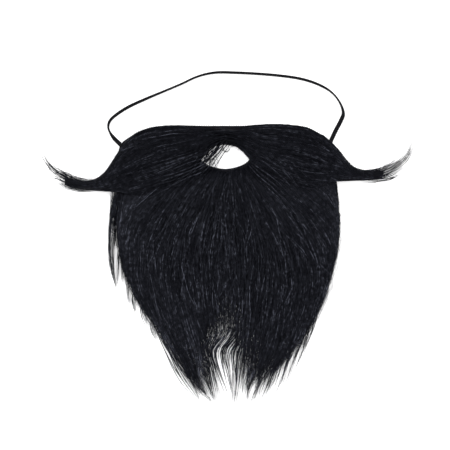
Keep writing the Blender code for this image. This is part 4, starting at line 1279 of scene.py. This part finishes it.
def add_studio():
    """White floor and soft light, as on the photo's white ground."""
    material, shader = new_material("studio_floor")
    set_inputs(material, shader, Base_Color=FLOOR_COLOUR, Roughness=0.9, Specular_IOR_Level=0.0,
               Emission_Color=WHITE, Emission_Strength=FLOOR_GLOW)
    corners = [(x * FLOOR_HALF, y * FLOOR_HALF, FLOOR_LEVEL)
               for x, y in ((-1, -1), (1, -1), (1, 1), (-1, 1))]
    mesh = bpy.data.meshes.new("studio_floor")
    mesh.from_pydata(corners, [], [(0, 1, 2, 3)])
    mesh.materials.append(material)
    floor = bpy.data.objects.new("studio_floor", mesh)
    bpy.context.scene.collection.objects.link(floor)
    world = bpy.data.worlds.new("studio")
    world.use_nodes = True
    set_inputs(world, world.node_tree.nodes["Background"], Color=WHITE, Strength=WORLD_STRENGTH)
    bpy.context.scene.world = world
    for lamp in LAMPS:
        add_lamp(lamp)
    bpy.context.scene.view_settings.view_transform = "Standard"


def elastic_path(count):
    """Points at even distances on the elastic's route, and their height on the cloth."""
    t = np.linspace(0.0, 1.0, ROUTE_STEPS)
    x, y = (smooth_values(values, t) for values in np.transpose(ELASTIC_ROUTE))
    lengths = np.concatenate(([0.0], np.cumsum(np.hypot(np.diff(x), np.diff(y)))))
    even = np.linspace(-ELASTIC_TAB, lengths[-1] + ELASTIC_TAB, count)
    before, past = np.maximum(-even, 0.0), np.maximum(even - lengths[-1], 0.0)
    ends = []
    for end, inner in ((0, ROUTE_END), (-1, -1 - ROUTE_END)):
        step = np.array((x[end] - x[inner], y[end] - y[inner]))
        ends.append(step / math.hypot(*step))
    first, last = ends
    x = np.interp(even, lengths, x) + first[0] * before + last[0] * past
    y = np.interp(even, lengths, y) + first[1] * before + last[1] * past
    on_route = before + past < 1e-9
    climb = ramp(*TAB_CLIMBS, np.maximum(before, past) + on_route * TAB_CLIMBS[0])
    return x, y, climb * BACKING_THICKNESS


def add_elastic():
    """Flat ribbed elastic that lies on its edge where it bends."""
    x, y, raised = elastic_path(ELASTIC_RINGS)
    along = np.linspace(0.0, 1.0, ELASTIC_RINGS)
    turn = np.radians(np.interp(along, *np.transpose(ELASTIC_TWIST)))
    turn = np.convolve(np.pad(turn, TWIST_SMOOTH // 2, mode="edge"),
                       np.ones(TWIST_SMOOTH) / TWIST_SMOOTH, mode="valid")
    angle = 2 * math.pi * np.arange(ELASTIC_SIDES) / ELASTIC_SIDES
    wide = np.sign(np.cos(angle)) * np.abs(np.cos(angle)) ** ELASTIC_ROUND * ELASTIC_WIDTH / 2
    ribs = 1.0 + RIB_HEIGHT * np.cos(wide / ELASTIC_WIDTH * 2 * math.pi * ELASTIC_RIBS)
    thick = np.sin(angle) * ELASTIC_THICKNESS / 2 * ribs
    dx, dy = np.gradient(x), np.gradient(y)
    size = np.hypot(dx, dy)
    across = np.stack((-dy / size, dx / size, np.zeros(ELASTIC_RINGS)), 1)
    up = np.array((0.0, 0.0, 1.0))
    broad = across * np.cos(turn)[:, None] + up * np.sin(turn)[:, None]
    normal = -across * np.sin(turn)[:, None] + up * np.cos(turn)[:, None]
    offsets = broad[:, None] * wide[None, :, None] + normal[:, None] * thick[None, :, None]
    centre = np.stack((x, y, raised - offsets[:, :, 2].min(1) + ELASTIC_CLEAR), 1)
    vertices = (centre[:, None] + offsets).reshape(-1, 3)
    mesh = smooth_mesh("head_elastic", vertices.tolist(), tube_faces(ELASTIC_RINGS, ELASTIC_SIDES))
    spots = np.zeros((len(mesh.loops), 2))
    at = 0
    for ring in range(ELASTIC_RINGS - 1):
        low, high = ring * RIBBON_STEP, (ring + 1) * RIBBON_STEP
        for k in range(ELASTIC_SIDES):
            spots[at:at + 4] = ((low, k), (low, k + 1), (high, k + 1), (high, k))
            at += 4
    add_uv(mesh, "ribbon", spots)
    material = elastic_material("knitted_elastic", ELASTIC_DARK, ELASTIC_LIGHT)
    piece = add_piece("head_elastic", mesh, material, "black_elastic", "elastic_cord")


def cloth_outline(count):
    """The cloth's outline, one point for each direction from the mouth's middle."""
    t = np.linspace(0.0, 1.0, CLOTH_STEPS)
    heights = np.array([row.height * (BACKING_TOP if row.height > 0 else BACKING_DROP)
                        for row in CLOTH])
    y = smooth_values(heights, t)
    left = -smooth_values([row.left for row in CLOTH], t) * BACKING_HALF_WIDTH
    right = smooth_values([row.right for row in CLOTH], t) * BACKING_HALF_WIDTH
    top = np.linspace(left[0], right[0], CLOTH_TOP_STEPS)[1:-1]
    x = np.concatenate((left, right[::-1], top[::-1]))
    y = np.concatenate((y, y[::-1], np.full(len(top), y[0])))
    angle = np.arctan2(y - MOUTH_HEIGHT_ABOVE, x)
    reach = np.hypot(x, y - MOUTH_HEIGHT_ABOVE)
    order = np.argsort(angle)
    wanted = np.linspace(-math.pi, math.pi, count, endpoint=False)
    found = np.interp(wanted, angle[order], reach[order], period=2 * math.pi)
    return wanted, found * np.cos(wanted), found * np.sin(wanted) + MOUTH_HEIGHT_ABOVE


def add_cloth():
    """The backing cloth with a rolled edge at its outline and round the mouth, and its stitches."""
    angle, outer_x, outer_y = cloth_outline(CLOTH_AROUND)
    inner_x, inner_y = mouth_edge(angle)
    share = 0.5 - 0.5 * np.cos(math.pi * np.linspace(0.0, 1.0, CLOTH_ACROSS + 1))
    x = mix(inner_x[None], outer_x[None], share[:, None])
    y = mix(inner_y[None], outer_y[None], share[:, None])
    edge = np.minimum(share, 1 - share)[:, None]
    puff = PUFF * np.sin(x * PUFF_X) * np.sin(y * PUFF_Y + 1.0)
    middle = BACKING_THICKNESS / 2
    half = middle * (1.0 - EDGE_ROLL * np.exp(-edge * EDGE_ROLL_POWER)) * np.ones_like(x)
    top = middle + half - CLOTH_TOP_IN + puff * (edge > 0)
    bottom = middle - half + CLOTH_BOTTOM_IN + np.abs(puff) * (edge > 0)
    sides = [np.stack((x, y, z), 2).reshape(-1, 3) for z in (bottom, top)]
    size = (CLOTH_ACROSS + 1) * CLOTH_AROUND
    rim = CLOTH_ACROSS * CLOTH_AROUND
    faces = []
    for a in range(0, rim, CLOTH_AROUND):
        b = a + CLOTH_AROUND
        for i in range(CLOTH_AROUND):
            j = (i + 1) % CLOTH_AROUND
            faces.append((a + i, a + j, b + j, b + i))
            faces.append((size + a + i, size + b + i, size + b + j, size + a + j))
    for i in range(CLOTH_AROUND):
        j = (i + 1) % CLOTH_AROUND
        faces.append((i, size + i, size + j, j))
        faces.append((rim + i, rim + j, size + rim + j, size + rim + i))
    mesh = smooth_mesh("backing_cloth", np.concatenate(sides).tolist(), faces)
    material = cloth_material("woven_cloth", CLOTH_DARK, CLOTH_LIGHT)
    cloth = add_piece("backing_cloth", mesh, material, "black_cloth", "backing")
    outline = np.stack((outer_x, outer_y), 1)
    hole = np.stack((inner_x, inner_y), 1)
    stitches = add_stitches(outline, hole)


def thread_mesh(name, paths):
    """Threads as closed tubes with rounded ends, one for each path of points."""
    vertices, faces = [], []
    turns = 2 * math.pi * np.arange(THREAD_SIDES) / THREAD_SIDES
    for path in paths:
        along = directions(path[None])[0]
        side = np.cross(along, THREAD_UP)
        side /= np.maximum(np.linalg.norm(side, axis=1, keepdims=True), 1e-9)
        lift = np.cross(side, along)
        radius = np.full(len(path), THREAD_RADIUS)
        radius[[0, -1]] *= 0.5
        ring = side[:, None] * np.cos(turns)[:, None] + lift[:, None] * np.sin(turns)[:, None]
        faces += tube_faces(len(path), THREAD_SIDES, len(vertices))
        vertices += (path[:, None] + ring * radius[:, None, None]).reshape(-1, 3).tolist()
    return smooth_mesh(name, vertices, faces)


def overlock_path(ring, inward):
    """Thread that winds round the cloth's edge; ring is closed, inward points into the cloth."""
    loop = np.concatenate((ring, ring[:1]))
    lengths = np.concatenate(([0.0], np.cumsum(np.linalg.norm(np.diff(loop, axis=0), axis=1))))
    stitches = int(lengths[-1] / STITCH_PITCH)
    steps = np.arange(stitches * STITCH_POINTS + 1) / STITCH_POINTS
    at = steps / stitches * lengths[-1]
    edge = np.stack([np.interp(at, lengths, loop[:, k]) for k in (0, 1)], 1)
    turn = np.concatenate((inward, inward[:1]))
    aim = np.stack([np.interp(at, lengths, turn[:, k]) for k in (0, 1)], 1)
    phase = 2 * math.pi * steps
    depth = STITCH_DEPTH * (0.5 - 0.5 * np.cos(2 * phase)) - THREAD_RADIUS
    z = BACKING_THICKNESS / 2 - (BACKING_THICKNESS / 2 - THREAD_RADIUS) * np.sin(phase)
    place = edge + aim * depth[:, None]
    return np.concatenate((place, np.maximum(z, THREAD_RADIUS)[:, None]), 1)


def weft_paths(ring):
    """Rows of running stitches across the cloth below the mouth, level with its curve."""
    paths = []
    rows = int((BACKING_DROP + MOUTH_HEIGHT_ABOVE) / WEFT_PITCH)
    for row in range(1, rows):
        level = MOUTH_HEIGHT_ABOVE - MOUTH_LOWER - row * WEFT_PITCH
        below = ring[ring[:, 1] < level + WEFT_LOOK, 0]
        if not len(below):
            continue
        left, right = below.min(), below.max()
        count = max(int((right - left) / WEFT_STITCH) * STITCH_POINTS, 2 * STITCH_POINTS)
        x = np.linspace(left + WEFT_INSET, right - WEFT_INSET, count)
        sag = ((x - (left + right) / 2) / (right - left)) ** 2
        y = level + WEFT_SAG * sag + WEFT_WANDER * np.sin(x * WEFT_WANDERS + row)
        inside = inside_ring(x, y, ring)
        x, y = x[inside], y[inside]
        if len(x) >= WEFT_LEAST:
            z = 0.5 + 0.5 * np.sin(2 * math.pi * x / WEFT_STITCH)
            paths.append(np.stack((x, y, THREAD_RADIUS + WEFT_RISE * z), 1))
    return paths


def inside_ring(x, y, ring):
    """Which places lie inside the ring and clear of its overlock stitches."""
    reach = np.hypot(ring[:, 0], ring[:, 1] - MOUTH_HEIGHT_ABOVE)
    angle = np.arctan2(ring[:, 1] - MOUTH_HEIGHT_ABOVE, ring[:, 0])
    order = np.argsort(angle)
    here = np.arctan2(y - MOUTH_HEIGHT_ABOVE, x)
    limit = np.interp(here, angle[order], reach[order], period=2 * math.pi)
    return np.hypot(x, y - MOUTH_HEIGHT_ABOVE) < limit - STITCH_CLEAR


def add_stitches(outline, hole):
    """Overlock round the cloth and its mouth, and the rows that hold the hair."""
    centre = np.array((0.0, MOUTH_HEIGHT_ABOVE))
    overlock = []
    for ring, sign in ((outline, -1.0), (hole, 1.0)):
        away = (ring - centre) / np.linalg.norm(ring - centre, axis=1, keepdims=True)
        overlock.append(overlock_path(ring, sign * away))
    material = thread_material("sewing_thread", THREAD_DARK, THREAD_LIGHT)
    return [add_piece(name, thread_mesh(name, paths), material, "black_cloth") for name, paths in
            (("cloth_overlock", overlock), ("cloth_weft_stitches", weft_paths(outline)))]


def add_highlight_hairs(label, wisps, *kind):
    """Long hairs painted light as painted highlights, on top of the others; kind is their material,
    record slot and CAD node.
    """
    centres = all_wisps(wisps, HIGHLIGHT_WISP_LEAST)
    tones = rng.uniform(*HIGHLIGHT_WISP_TONES, len(centres))
    add_strands(f"{label}_painted_highlight_hairs", centres, *kind, FINE, tones)


def add_beard(under_hair):
    """The hair below the mouth."""
    slot, node = "beard_fibre", "beard_hair"
    kind = (hair_material("beard_hair_fibre", DARK, LIGHT), slot, node)
    add_piece("beard_under_hair", core_mesh("beard_under_hair", *beard_core()), under_hair, slot, node)
    for part in range(1, BEARD_SETS + 1):
        add_strands(f"beard_strands_{part}", beard_strands(BEARD_SET), *kind)
    add_strands("beard_middle_strands", veil_strands(VEIL_COUNT), *kind)
    # Hairs painted light as painted highlights
    add_highlight_hairs("beard", HIGHLIGHT_BEARD_WISPS, *kind)
    edges = (all_wisps(EDGE_WISPS + TIP_WISPS), fringe_strands(FRINGE_COUNT))
    add_strands("beard_edge_strands", np.concatenate(edges), *kind, FINE)


def add_wing(name, table, side, under_hair, hair, tips, crossing, highlit):
    """A moustache wing: its hairs and those that cross the lip and the mouth are one piece."""
    slot, node = f"{name}_moustache_fibre", f"moustache_{name}"
    kind = (hair, slot, node)
    grid = wing_grid(table)
    core = core_mesh(f"{node}_under_hair", *wing_core(grid, side))
    add_piece(f"{node}_under_hair", core, under_hair, slot, node)
    strands = (wing_strands(grid, side, WING_COUNT), all_wisps(crossing))
    add_strands(f"{node}_strands", np.concatenate(strands), *kind)
    add_strands(f"{node}_tip_strands", all_wisps(tips), *kind)
    # Hairs painted light as painted highlights
    add_highlight_hairs(node, highlit, *kind)


def add_hair():
    """The beard and both wings, on their dense under hair."""
    under = core_material("under_hair", UNDER_DARK, UNDER_LIGHT)
    fibre = hair_material("moustache_fibre", DARK, tuple(MOUSTACHE_LIGHT * value for value in LIGHT))
    add_beard(under)
    add_wing("left", LEFT_WING, -1, under, fibre, LEFT_TIP_WISPS,
             MOUTH_WISPS + MIDDLE_WISPS_LEFT, HIGHLIGHT_LEFT_WISPS)
    add_wing("right", RIGHT_WING, 1, under, fibre, RIGHT_TIP_WISPS,
             MIDDLE_WISPS_RIGHT, HIGHLIGHT_RIGHT_WISPS)


add_camera()
add_elastic()
add_studio()
add_cloth()
add_hair()
